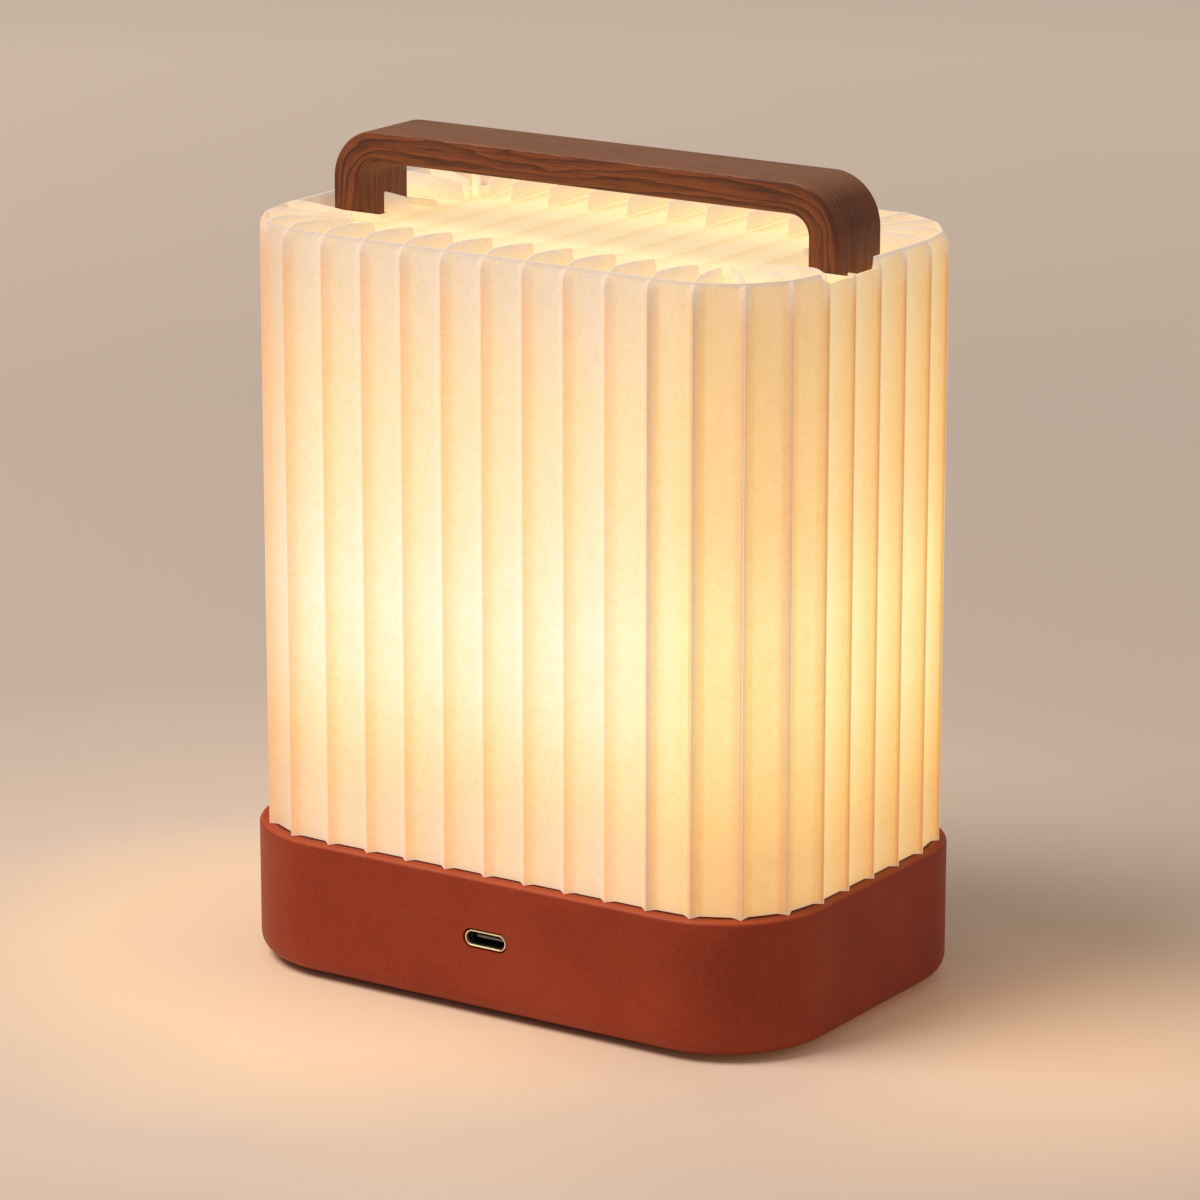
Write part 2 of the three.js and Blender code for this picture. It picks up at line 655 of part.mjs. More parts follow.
// Place and heading on the panels' outline, a distance round from the middle of the front.
function placeOnOutline(distance) {
  const radius = base.cornerRadius - shade.inset;
  const halfX = halfLength - base.cornerRadius;
  const halfY = halfDepth - base.cornerRadius;
  const runs = [halfX, 2 * halfY, 2 * halfX, 2 * halfY, halfX];
  let [x, y, heading, left] = [0, -halfY - radius, 0, distance];
  runs.forEach((run) => {
    const step = Math.min(left, run);
    x += step * Math.cos(heading);
    y += step * Math.sin(heading);
    left -= step;
    const turn = Math.min(left / radius, Math.PI / 2);
    const [centreX, centreY] = [x - radius * Math.sin(heading), y + radius * Math.cos(heading)];
    heading += turn;
    x = centreX + radius * Math.sin(heading);
    y = centreY - radius * Math.cos(heading);
    left -= turn * radius;
  });
  return { x, y, heading };
}

function panelPerimeter() {
  const radius = base.cornerRadius - shade.inset;
  const straights = 4 * (halfLength + halfDepth - 2 * base.cornerRadius);
  return straights + 2 * Math.PI * radius;
}

// Side view of a pleat over the top: how far out of the panel, and height.
function pleatProfile(inner, under) {
  const crownTop = panelTop + pleat.crown;
  const shoulderX = pleat.depth - pleat.shoulderRun;
  const shoulderZ = crownTop - pleat.shoulderRise;
  const shape = new THREE.Shape();
  shape.moveTo(inner, under);
  shape.lineTo(pleat.depth, under);
  shape.absellipse(shoulderX, shoulderZ, pleat.shoulderRun, pleat.shoulderRise, 0, Math.PI / 2, false);
  shape.lineTo(inner, crownTop - (pleat.crownDrop * (shoulderX - inner)) / (shoulderX + pleat.reach));
  return shape;
}

// The profile made solid across the pleat, standing out towards -y.
function pleatSlice(inner, under, width) {
  const options = { depth: width, bevelEnabled: false, curveSegments: facets.arc };
  const geometry = new THREE.ExtrudeGeometry(pleatProfile(inner, under), options)
    .translate(0, 0, -width / 2);
  const [outwards, up, across] = [[0, -1, 0], [0, 0, 1], [-1, 0, 0]]
    .map((axis) => new THREE.Vector3(...axis));
  return geometry.applyMatrix4(new THREE.Matrix4().makeBasis(outwards, up, across));
}

function pleatSolid() {
  const buried = shade.skin / 2;
  const ridge = new THREE.Shape([
    new THREE.Vector2(-pleat.root / 2, buried),
    new THREE.Vector2(-pleat.ply / 2, -pleat.depth),
    new THREE.Vector2(pleat.ply / 2, -pleat.depth),
    new THREE.Vector2(pleat.root / 2, buried),
  ]);
  const height = panelTop + pleat.crown - skinFoot;
  const wedge = new THREE.ExtrudeGeometry(ridge, { depth: height, bevelEnabled: false })
    .translate(0, 0, skinFoot);
  const rounded = solid(wedge).intersect(solid(pleatSlice(-pleat.shoulderRun, 0, pleat.root + overrun)));
  return rounded.add(solid(pleatSlice(-pleat.reach, bladeUnder, pleat.ply)));
}

function placed(geometry, { x, y, heading }) {
  return geometry.clone().rotateZ(heading).translate(x, y, 0);
}

function skinGeometry() {
  const one = fromSolid(pleatSolid());
  const pitch = panelPerimeter() / pleat.count;
  const pleats = Array.from({ length: pleat.count }, (_, i) => placed(one, placeOnOutline(i * pitch)));
  const wall = band(shade.inset, shade.inset + shade.skin, skinFoot, panelTop);
  const notchHalf = handle.width / 2 + fit;
  const top = panelTop + pleat.crown + overrun;
  const notches = sides.flatMap((side) => [
    block([side * (legInner - fit), -notchHalf, notchLevel],
      [side * (halfLength + overrun), notchHalf, top]),
    block([side * (halfLength - shade.inset - pleat.reach - overrun), -notchHalf, plateTop],
      [side * (legOuter + fit), notchHalf, top]),
  ]);
  return fromSolid(cut(joined(wall, ...pleats), ...notches));
}

// The stretch of the middle end pleat that lies on the inner side of a handle leg.
function stubGeometry(side) {
  const quarters = side > 0 ? 1 : 3;
  const blade = placed(pleatSlice(-pleat.reach, bladeUnder, pleat.ply),
    placeOnOutline((panelPerimeter() * quarters) / 4));
  const clip = block([0, -pleat.ply, plateTop], [side * (legInner - fit), pleat.ply, handleTop]);
  return fromSolid(solid(blade).intersect(solid(clip)));
}

function topPlateGeometry() {
  return fromSolid(cut(solid(slab(frameInset, plateUnder, plateTop)), ...handleBores(plateUnder, plateTop)));
}

add('shade_liner', band(linerInset, linerInset + shade.liner, skinFoot, plateTop), materials.opal);
add('shade_skin', skinGeometry(), materials.paper);
add('top_plate', topPlateGeometry(), materials.opal);
sides.forEach((side) => add(`pleat_stub_${sideName(side)}`, stubGeometry(side), materials.paper));

// Handle with its inserts and screws

function handleShape() {
  const outer = handle.cornerRadius;
  const inner = outer - handle.thickness;
  const shape = new THREE.Shape();
  shape.moveTo(-legOuter, plateTop);
  shape.lineTo(-legInner, plateTop);
  shape.absarc(inner - legInner, handleUnder - inner, inner, Math.PI, Math.PI / 2, true);
  shape.absarc(legInner - inner, handleUnder - inner, inner, Math.PI / 2, 0, true);
  shape.lineTo(legInner, plateTop);
  shape.lineTo(legOuter, plateTop);
  shape.absarc(legOuter - outer, handleTop - outer, outer, 0, Math.PI / 2, false);
  shape.absarc(outer - legOuter, handleTop - outer, outer, Math.PI / 2, Math.PI, false);
  return shape;
}

function handleGeometry() {
  const body = alongY(handleShape(), -handle.width / 2, handle.width / 2, handle.edge);
  const bores = corners.map(([sx, sy]) => rodZ(insert.radius + fit, sx * legX, sy * handleScrewY,
    plateTop - overrun, plateTop + insert.length + fit));
  return fromSolid(cut(solid(body), ...bores));
}

add('handle', handleGeometry(), materials.walnut);
corners.forEach(([sx, sy]) => {
  const [x, y] = [sx * legX, sy * handleScrewY];
  const name = cornerName([sx, sy]);
  const outer = rodZ(insert.radius, x, y, plateTop, plateTop + insert.length);
  const bore = rodZ(handleScrew.shank + fit, x, y, plateTop - overrun, plateTop + insert.length + overrun,
    facets.tiny);
  add(`handle_insert_${name}`, fromSolid(cut(solid(outer), bore)), materials.brass);
  const seat = frameUnder - post.flange;
  const length = plateTop + handleScrew.bite - seat;
  add(`handle_screw_${name}`, screwUp(handleScrew, length).translate(x, y, seat), materials.steel);
});

// Wires inside, along points chosen by hand

const padLevel = boardTop + fit;
const overPads = (rise) => padLevel + rise;
const leads = {
  battery_lead_left: [materials.black, [
    [-cradleInner, cellY, cellZ - leadDrop], [-37, 19, 13.4], [-40, 12, 14], [-30, 0, overPads(5.3)],
    [-12, -12, overPads(5.8)], [-8.5, -20, overPads(3.8)], [-8.5, -20.5, padLevel]]],
  battery_lead_right: [materials.red, [
    [cradleInner, cellY, cellZ - leadDrop], [37, 19, 13.4], [40, 12, 14], [30, 0, overPads(5.3)],
    [12, -12, overPads(5.8)], [8.5, -20, overPads(3.8)], [8.5, -20.5, padLevel]]],
  light_lead_left: [materials.black, [
    [-1.1, -5.4, stripFoot - fit], [-1.1, -6.4, mastFoot + 3.2], [-1.1, -7.9, mastFoot - 0.8],
    [-1.1, -7.9, deckUnder - 0.5], [-1.1, -10, deckUnder - 4.5], [-1.1, -18, overPads(4.8)],
    [-1.1, -20.5, overPads(2.8)], [-1.1, -20.5, padLevel]]],
  light_lead_right: [materials.red, [
    [1.1, -5.4, stripFoot - fit], [1.1, -6.4, mastFoot + 3.2], [1.1, -7.9, mastFoot - 0.8],
    [1.1, -7.9, deckUnder - 0.5], [1.1, -10, deckUnder - 4.5], [1.1, -18, overPads(4.8)],
    [1.1, -20.5, overPads(2.8)], [1.1, -20.5, padLevel]]],
  switch_lead: [materials.white, [
    [5, 34.2, switchBoardUnder - fit], [5, 34.2, 8.7], [5.4, 34.2, 6.6], [12, 34, 5.6], [34, 34, 5.6],
    [41, 27, 6], [44, 5, 8], [34, -10, 12], [20, -17, overPads(3.8)], [14.5, -20.5, overPads(2.8)],
    [14.5, -20.5, padLevel]]],
};
Object.entries(leads).forEach(([name, [material, points]]) => add(name, wireAlong(points), material));

export default lamp;
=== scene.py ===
import json
import math

import bmesh
import bpy
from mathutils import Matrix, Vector


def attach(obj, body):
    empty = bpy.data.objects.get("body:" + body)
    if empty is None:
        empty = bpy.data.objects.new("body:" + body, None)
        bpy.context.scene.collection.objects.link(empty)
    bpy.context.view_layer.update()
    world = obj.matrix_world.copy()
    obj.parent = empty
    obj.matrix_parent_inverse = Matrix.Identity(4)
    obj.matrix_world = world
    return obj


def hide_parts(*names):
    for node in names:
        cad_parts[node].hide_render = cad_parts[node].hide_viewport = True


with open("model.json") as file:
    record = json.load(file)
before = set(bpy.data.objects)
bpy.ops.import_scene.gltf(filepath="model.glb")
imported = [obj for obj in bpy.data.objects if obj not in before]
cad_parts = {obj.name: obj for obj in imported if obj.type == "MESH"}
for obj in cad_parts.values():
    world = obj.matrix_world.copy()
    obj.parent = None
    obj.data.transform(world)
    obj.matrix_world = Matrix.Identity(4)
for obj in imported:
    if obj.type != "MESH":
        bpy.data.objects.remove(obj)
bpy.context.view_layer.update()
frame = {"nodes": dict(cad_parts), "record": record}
nodes = frame["nodes"]
scene = bpy.context.scene
scene.view_settings.view_transform = "Standard"

mm = 0.001  # sizes are in millimetres, except for the floor and the lights


def span(edges):
    # Both edges of a band, or the numbers of a place, in metres.
    return [edge * mm for edge in edges]


def colour(code):
    # A colour is written as it looks on screen, and turned into linear values.
    parts = [int(code[i:i + 2], 16) / 255 for i in (1, 3, 5)]
    return tuple([c / 12.92 if c <= 0.04045 else ((c + 0.055) / 1.055) ** 2.4 for c in parts] + [1.0])


def rgba(tone):
    # A tone is a screen colour code, three linear values or the output of a node.
    if isinstance(tone, str):
        return colour(tone)
    return (*tone, 1.0) if isinstance(tone, tuple) else tone


# Camera, found by fitting the base, shade and handle to the photograph
cameraSetup = {
    "lens": 163.2,
    "azimuth": 33.57,
    "elevation": 15.15,
    "distance": 1161.7,
    "target": (-0.3, 0, 80.85),
    "sensor": 36,
    "clip": (0.05, 50),
}


def makeCamera(setup):
    data = bpy.data.cameras.new("photoCamera")
    data.lens = setup["lens"]
    data.sensor_width = setup["sensor"]
    data.clip_start, data.clip_end = setup["clip"]
    camera = bpy.data.objects.new("photoCamera", data)
    scene.collection.objects.link(camera)
    azimuth, elevation = math.radians(setup["azimuth"]), math.radians(setup["elevation"])
    back = Vector((
        math.sin(azimuth) * math.cos(elevation),
        -math.cos(azimuth) * math.cos(elevation),
        math.sin(elevation),
    ))
    camera.location = Vector(setup["target"]) * mm + back * setup["distance"] * mm
    camera.rotation_mode = "QUATERNION"
    camera.rotation_quaternion = (-back).to_track_quat("-Z", "Y")
    scene.camera = camera


makeCamera(cameraSetup)
print("camera set")


# Node helpers, for shader trees and geometry trees alike

def addNode(kind, inputs, tree=None, **settings):
    # Without a tree, the node goes into the one that its linked inputs come from.
    linked = {key: value for key, value in inputs.items() if isinstance(value, bpy.types.NodeSocket)}
    if tree is None:
        tree = next(iter(linked.values())).id_data
    made = tree.nodes.new(kind)
    for key, value in settings.items():
        setattr(made, key, value)
    for key, value in inputs.items():
        if key in linked:
            tree.links.new(value, made.inputs[key])
        else:
            made.inputs[key].default_value = value
    return made


def maths(operation, a, b=0.0, c=0.0):
    return addNode("ShaderNodeMath", {0: a, 1: b, 2: c}, operation=operation).outputs[0]


def plus(a, b):
    return maths("ADD", a, b)


def minus(a, b):
    return maths("SUBTRACT", a, b)


def times(a, b):
    return maths("MULTIPLY", a, b)


def axes(vector):
    return addNode("ShaderNodeSeparateXYZ", {"Vector": vector}).outputs


def fromAxes(**values):
    return addNode("ShaderNodeCombineXYZ", values).outputs[0]


def between(value, low, high, start=0.0, end=1.0):
    made = addNode("ShaderNodeMapRange", {"Value": value, 1: low, 2: high, 3: start, 4: end},
                   interpolation_type="SMOOTHSTEP")
    return made.outputs[0]


def mixNode(kind, first, share, a, b, **settings):
    # Each kind of mix has its own pair of sockets, from the first one on.
    inputs = {0: share, first: a, first + 1: b}
    return addNode("ShaderNodeMix", inputs, data_type=kind, **settings).outputs


def mixed(share, a, b, blend="MIX"):
    return mixNode("RGBA", 6, share, rgba(a), rgba(b), blend_type=blend)[2]


def tinted(tone, factor, share=1.0):
    return mixed(share, tone, factor, "MULTIPLY")


def mixedFloat(share, a, b):
    return mixNode("FLOAT", 2, share, a, b)[0]


def mixedVectors(share, a, b):
    return mixNode("VECTOR", 4, share, a, b)[1]


def noise(vector, scale, detail=2.0, roughness=0.5, distortion=0.0):
    inputs = {"Vector": vector, "Scale": scale, "Detail": detail, "Roughness": roughness,
              "Distortion": distortion}
    return addNode("ShaderNodeTexNoise", inputs).outputs["Fac"]


def cellEdges(vector, size, randomness):
    # Distance to the edge of cells of a size in millimetres, as a share of that size.
    inputs = {"Vector": vector, "Scale": 1 / (size * mm), "Randomness": randomness}
    return addNode("ShaderNodeTexVoronoi", inputs, feature="DISTANCE_TO_EDGE").outputs["Distance"]


def ramp(value, stops):
    made = addNode("ShaderNodeValToRGB", {"Fac": value})
    elements = made.color_ramp.elements
    while len(elements) < len(stops):
        elements.new(1.0)
    for element, (place, tone) in zip(elements, stops):
        element.position, element.color = place, rgba(tone)
    return made.outputs["Color"]


def bump(height, depth, strength=1.0, under=None):
    inputs = {"Height": height, "Distance": depth * mm, "Strength": strength}
    if under is not None:
        inputs["Normal"] = under
    return addNode("ShaderNodeBump", inputs).outputs["Normal"]


def newMaterial(name, **values):
    material = bpy.data.materials.new(name)
    material.use_nodes = True
    tree = material.node_tree
    tree.nodes.clear()
    shader = tree.nodes.new("ShaderNodeBsdfPrincipled")
    output = tree.nodes.new("ShaderNodeOutputMaterial")
    tree.links.new(shader.outputs["BSDF"], output.inputs["Surface"])
    for key, value in values.items():
        shader.inputs[key.replace("_", " ")].default_value = value
    place = addNode("ShaderNodeTexCoord", {}, tree).outputs["Object"]
    return material, shader, place


def plug(shader, **values):
    for key, value in values.items():
        shader.id_data.links.new(value, shader.inputs[key.replace("_", " ")])


def roughened(value, roughness, less, more):
    # Roughness by a pattern's value, from less under the given one to more over it.
    return between(value, 0.3, 0.7, roughness - less, roughness + more)


def scaled(vector, factors):
    return addNode("ShaderNodeMapping", {"Vector": vector, "Scale": factors}).outputs["Vector"]


def vectors(operation, a, b=None, scale=None):
    inputs = {0: a}
    if b is not None:
        inputs[1] = b
    if scale is not None:
        inputs["Scale"] = scale
    made = addNode("ShaderNodeVectorMath", inputs, operation=operation)
    return made.outputs["Value" if operation == "LENGTH" else 0]


# The base outline: a rounded rectangle that everything follows
base = {"length": 140, "depth": 92, "cornerRadius": 25, "height": 30.7, "underside": 1.2}


# the middle of the outline's corner arc in the quarter where x and y are positive
arcX, arcY = (base[side] / 2 - base["cornerRadius"] for side in ("length", "depth"))


def outlinePoint(inset, distance):
    # Point on the outline at an inset, a distance round from the middle of the front.
    radius = base["cornerRadius"] - inset
    x, y, heading, left = 0.0, -arcY - radius, 0.0, distance
    for run in (arcX, 2 * arcY, 2 * arcX, 2 * arcY, arcX):
        step = min(left, run)
        x += step * math.cos(heading)
        y += step * math.sin(heading)
        left -= step
        turn = min(left / radius, math.pi / 2)
        centreX, centreY = x - radius * math.sin(heading), y + radius * math.cos(heading)
        heading += turn
        x, y = centreX + radius * math.sin(heading), centreY - radius * math.cos(heading)
        left -= turn * radius
    return x, y


def perimeter(inset):
    straights = 2 * (base["length"] + base["depth"]) - 8 * base["cornerRadius"]
    return straights + 2 * math.pi * (base["cornerRadius"] - inset)


def outlineLoop(inset, cornerSteps=24, straightSteps=6):
    # Points, counterclockwise, the same count at every inset.
    radius = base["cornerRadius"] - inset
    loop = []
    centres = [(arcX, arcY), (-arcX, arcY), (-arcX, -arcY), (arcX, -arcY)]
    for corner, (cx, cy) in enumerate(centres):
        for step in range(cornerSteps + 1):
            angle = math.pi / 2 * (corner + step / cornerSteps)
            loop.append((cx + radius * math.cos(angle), cy + radius * math.sin(angle)))
        nx, ny = centres[(corner + 1) % 4]
        x, y = loop[-1]
        for step in range(1, straightSteps):
            share = step / straightSteps
            loop.append((x + (nx - cx) * share, y + (ny - cy) * share))
    return loop


def insetOf(place):
    # Shader value: how far inside the base outline a point lies, in metres.
    past = vectors("SUBTRACT", vectors("ABSOLUTE", place), (arcX * mm, arcY * mm, 0.0))
    beyond = vectors("MAXIMUM", vectors("MULTIPLY", past, (1.0, 1.0, 0.0)), (0.0, 0.0, 0.0))
    parts = axes(past)
    within = maths("MINIMUM", maths("MAXIMUM", parts["X"], parts["Y"]), 0.0)
    outside = plus(vectors("LENGTH", beyond), within)
    return minus(base["cornerRadius"] * mm, outside)


def newMesh(name, verts, faces):
    mesh = bpy.data.meshes.new(name)
    mesh.from_pydata([Vector(v) * mm for v in verts], [], faces)
    return mesh


def newPiece(name, mesh):
    piece = bpy.data.objects.new(name, mesh)
    scene.collection.objects.link(piece)
    return piece


def tidyMesh(mesh, smoothAngle=35):
    work = bmesh.new()
    work.from_mesh(mesh)
    bmesh.ops.remove_doubles(work, verts=work.verts, dist=0.001 * mm)
    bmesh.ops.dissolve_degenerate(work, edges=work.edges, dist=0.0005 * mm)
    bmesh.ops.recalc_face_normals(work, faces=work.faces)
    work.to_mesh(mesh)
    work.free()
    mesh.shade_smooth()
    mesh.set_sharp_from_angle(angle=math.radians(smoothAngle))
    mesh.update()


def meshPiece(name, verts, faces, material=None):
    mesh = newMesh(name, verts, faces)
    if material:
        mesh.materials.append(material)
    tidyMesh(mesh)
    return newPiece(name, mesh)


def ringFaces(rows, columns, closed=True, around=True):
    # Faces of a section of rows, carried round the columns, or only along them.
    faces = []
    for row in range(rows if closed else rows - 1):
        for column in range(columns if around else columns - 1):
            following, after = (row + 1) % rows, (column + 1) % columns
            faces.append((row * columns + column, row * columns + after,
                          following * columns + after, following * columns + column))
    return faces


def arcPoints(cx, cz, radius, start, end, steps):
    return [(cx + radius * math.cos(start + (end - start) * i / steps),
             cz + radius * math.sin(start + (end - start) * i / steps)) for i in range(steps + 1)]


def circle(radius, columns=48):
    return [(radius * math.cos(2 * math.pi * i / columns), radius * math.sin(2 * math.pi * i / columns))
            for i in range(columns)]


def prism(name, verts, material=None):
    # A closed solid, from the points of one end's loop and then the other's.
    count = len(verts) // 2
    faces = [(i, (i + 1) % count, count + (i + 1) % count, count + i) for i in range(count)]
    faces += [tuple(range(count)), tuple(range(count, 2 * count))]
    return meshPiece(name, verts, faces, material)


def plainMesh(piece, name):
    # The mesh that the piece's modifiers give, as a new object, and the old one removed.
    depsgraph = bpy.context.evaluated_depsgraph_get()
    mesh = bpy.data.meshes.new_from_object(piece.evaluated_get(depsgraph), depsgraph=depsgraph)
    bpy.data.objects.remove(piece)
    made = newPiece(name, mesh)
    made.name = mesh.name = name
    return made


def cutBy(piece, tools, name):
    for tool in tools:
        cut = piece.modifiers.new(tool.name, "BOOLEAN")
        cut.operation, cut.solver, cut.object = "DIFFERENCE", "EXACT", tool
    made = plainMesh(piece, name)
    for tool in tools:
        bpy.data.objects.remove(tool)
    return made


def installed(piece, slot, *replaced, body="lamp"):
    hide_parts(*replaced)
    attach(piece, body)
    return piece


# Geometry trees: a unit piece repeated by a rule

def newTree(name, sockets):
    tree = bpy.data.node_groups.new(name, "GeometryNodeTree")
    for title, kind in sockets:
        tree.interface.new_socket(name=title, in_out="INPUT", socket_type="NodeSocket" + kind)
    tree.interface.new_socket(name="Geometry", in_out="OUTPUT", socket_type="NodeSocketGeometry")
    return tree.nodes.new("NodeGroupInput"), tree.nodes.new("NodeGroupOutput")


def runTree(tree, name, values):
    # Gives the tree its inputs, and returns the plain mesh that it makes.
    holder = newPiece(name, bpy.data.meshes.new(name))
    modifier = holder.modifiers.new(name, "NODES")
    modifier.node_group = tree
    for item in tree.interface.items_tree:
        if item.in_out == "INPUT" and item.name in values:
            modifier[item.identifier] = values[item.name]
    return plainMesh(holder, name)


def shaped(kind, geometry, **inputs):
    return addNode("GeometryNode" + kind, {"Geometry": geometry, **inputs}).outputs[0]


def unitGeometry(entry, title="Unit"):
    return addNode("GeometryNodeObjectInfo", {"Object": entry.outputs[title]}).outputs["Geometry"]


def finishTree(outlet, geometry, material):
    flat = shaped("RealizeInstances", geometry)
    outlet.id_data.links.new(shaped("SetMaterial", flat, Material=material), outlet.inputs[0])
    return outlet.id_data


def cornersTree():
    # Four copies of the unit piece, at the corners of a rectangle.
    entry, outlet = newTree("standAtCorners", [
        ("Unit", "Object"), ("Spacing X", "Float"), ("Spacing Y", "Float"), ("Material", "Material")])
    points = addNode("GeometryNodeMeshGrid", {
        "Size X": entry.outputs["Spacing X"], "Size Y": entry.outputs["Spacing Y"],
        "Vertices X": 2, "Vertices Y": 2}).outputs["Mesh"]
    copies = addNode("GeometryNodeInstanceOnPoints",
                     {"Points": points, "Instance": unitGeometry(entry)}).outputs[0]
    return finishTree(outlet, copies, entry.outputs["Material"])


def atCorners(name, unit, spacing, material):
    piece = runTree(cornersTree(), name, {
        "Unit": unit, "Spacing X": spacing[0] * mm, "Spacing Y": spacing[1] * mm, "Material": material})
    bpy.data.objects.remove(unit)
    tidyMesh(piece.data, 40)
    return piece


# Leather sleeve round the base

leather = {
    "front": "#963317",
    "deep": "#8d2e13",
    "pale": "#9d3a1b",
    "cloudScale": 55,
    "valley": "#6d2410",
    "valleyShare": 0.16,
    "crease": "#c05c36",
    "creaseShare": 0.18,
    "creaseScale": 1500,
    # painted light on the turned-in top: paler all over and most at the rim, as lit by the shade's glow with
    # a highlight on the edge; and a painted contact shadow, dark beside the paper
    "topBand": (0.7, 0.1),  # below the top face
    "rim": "#c45a2a",
    "rimBand": (0.5, 1.3),
    "contact": "#6b2410",
    "contactBand": (2.3, 2.9),
    "roughness": 0.47,
    "specular": 0.3,
    "grainDepth": 0.05,
    "pebble": 0.6,
    "warp": 0.6,  # how far a pebble's outline is pushed about
    "warpScale": 900.0,
}


def leatherMaterial(look):
    material, shader, place = newMaterial("terracottaLeather", Specular_IOR_Level=look["specular"])
    warp = addNode("ShaderNodeTexNoise", {"Vector": place, "Scale": look["warpScale"]}).outputs["Color"]
    warped = vectors("ADD", place, vectors("SCALE", warp, scale=look["warp"] * mm))
    valley = between(cellEdges(warped, look["pebble"], 1.0), 0.0, 0.16, 1.0, 0.0)
    creases = noise(scaled(place, (1.0, 1.0, 0.45)), look["creaseScale"], 3, 0.6, 1.4)
    cloud = noise(place, look["cloudScale"], 3, 0.5)
    tone = ramp(cloud, [(0.3, look["deep"]), (0.5, look["front"]), (0.72, look["pale"])])
    tone = mixed(times(valley, look["valleyShare"]), tone, look["valley"])
    tone = mixed(between(creases, 0.42, 0.7, 0.0, look["creaseShare"]), tone, look["crease"])
    inset = insetOf(place)
    height = axes(place)["Z"]
    onTop = between(height, *[base["height"] * mm - drop for drop in span(look["topBand"])])
    # painted light: the top face is paler, most at its outer edge, as lit by the shade's glow and a
    # highlight on the edge
    edge = times(onTop, between(inset, *span(look["rimBand"]), 0.55, 0.2))
    tone = mixed(edge, tone, look["rim"])
    # painted contact shadow: a dark line on the top face beside the paper's foot
    contact = times(onTop, between(inset, *span(look["contactBand"]), 0.0, 0.9))
    tone = mixed(contact, tone, look["contact"])
    rough = roughened(creases, look["roughness"], 0.05, 0.09)
    soft = bump(times(valley, -1.0), look["grainDepth"], 0.6)
    fine = bump(creases, look["grainDepth"] * 1.4, 0.45, soft)
    plug(shader, Base_Color=tone, Roughness=rough, Normal=fine)
    return material


sleeve = {
    "thickness": 1.2,
    "bottomFillet": 4,
    "topEdge": 1,
    "topFlange": 4.3,
    "bottomFlange": 6,
    "filletSteps": 10,
    "edgeSteps": 6,
    "wallSteps": 6,
    "hem": 0.3,  # the flange's inner edge is cut off by this
    "socketHole": (11.2, 4.4),
    "buttonHole": 6.1,
}
socketPlace = {"offset": 1.2, "height": 17.4}
buttonPlace = {"offset": 0, "height": 17.4}
terracotta = leatherMaterial(leather)


def stadium(length, thickness, steps=16):
    # Loop of (x, z) round a slot with round ends.
    radius, run = thickness / 2, (length - thickness) / 2
    loop = []
    for side, start in ((1, -math.pi / 2), (-1, math.pi / 2)):
        for i in range(steps + 1):
            angle = start + math.pi * i / steps
            loop.append((side * run + radius * math.cos(angle), radius * math.sin(angle)))
    return loop


def punchTool(name, loop, place, y0, y1):
    verts = [(place["offset"] + a, y, place["height"] + b) for y in (y0, y1) for a, b in loop]
    return prism(name, verts, terracotta)


def makeSleeve(size):
    height, under, wall = base["height"], base["underside"], size["thickness"]
    fillet, edge, steps = size["bottomFillet"], size["topEdge"], size["filletSteps"]
    low, high, hem = under + fillet, height - edge, size["hem"]
    section = [(size["bottomFlange"], under)]
    section += arcPoints(fillet, low, fillet, -math.pi / 2, -math.pi, steps)
    section += [(0, low + (high - low) * i / size["wallSteps"]) for i in range(1, size["wallSteps"])]
    section += arcPoints(edge, high, edge, math.pi, math.pi / 2, size["edgeSteps"])
    section += [(2, height), (3, height), (size["topFlange"] - hem, height)]
    section += [(size["topFlange"], height - hem), (size["topFlange"], height - wall), (wall, height - wall)]
    section += arcPoints(fillet, low, fillet - wall, -math.pi, -math.pi / 2, steps)
    section += [(size["bottomFlange"], under + wall)]
    verts = []
    for inset, z in section:
        verts += [(x, y, z) for x, y in outlineLoop(inset)]
    piece = meshPiece("leatherSleeve", verts, ringFaces(len(section), len(outlineLoop(0))), terracotta)
    half = base["depth"] / 2
    tools = [punchTool("socketPunch", stadium(*size["socketHole"]), socketPlace, -half - 2, -half + 3),
             punchTool("buttonPunch", circle(size["buttonHole"]), buttonPlace, half - 3, half + 2)]
    made = cutBy(piece, tools, "leatherSleeve")
    made.data.shade_smooth()
    made.data.set_sharp_from_angle(angle=math.radians(30))
    return installed(made, "leather", "base_wrap")


makeSleeve(sleeve)
print("leather sleeve made")


# Pale gold trim: the ring round the charging socket, and the push button with its bezel

gold = {
    "pale": "#fff5de",
    "deep": "#f8e6b8",
    "cloudScale": 900,
    "roughness": 0.38,
    "lines": 9000,  # turned lines, how many in a metre
    "lineDepth": 0.006,
}


def goldMaterial(look):
    material, shader, place = newMaterial("paleGold", Metallic=1.0)
    middle = (buttonPlace["offset"] * mm, 0.0, buttonPlace["height"] * mm)
    parts = axes(vectors("SUBTRACT", place, middle))
    flat = fromAxes(X=parts["X"], Z=parts["Z"])
    rings = maths("SINE", times(vectors("LENGTH", flat), look["lines"] * math.tau))
    cloud = noise(place, look["cloudScale"], 3, 0.6)
    tone = ramp(cloud, [(0.3, look["deep"]), (0.65, look["pale"])])
    rough = roughened(cloud, look["roughness"], 0, 0.06)
    # The button and its bezel at the back have turned lines, and the socket's ring in front has none.
    atBack = between(parts["Y"], 0.0, 0.01)
    relief = bump(times(rings, atBack), look["lineDepth"], 0.5)
    plug(shader, Base_Color=tone, Roughness=rough, Normal=relief)
    return material


paleGold = goldMaterial(gold)


def lipSection(wall, depth, rounding, steps=5):
    # (distance inwards from the outer edge, distance back from the face) round a ring's section.
    points = arcPoints(rounding, rounding, rounding, math.pi, math.pi * 1.5, steps)
    points += arcPoints(wall - rounding, rounding, rounding, math.pi * 1.5, math.pi * 2, steps)
    return points + [(wall, depth), (0, depth)]


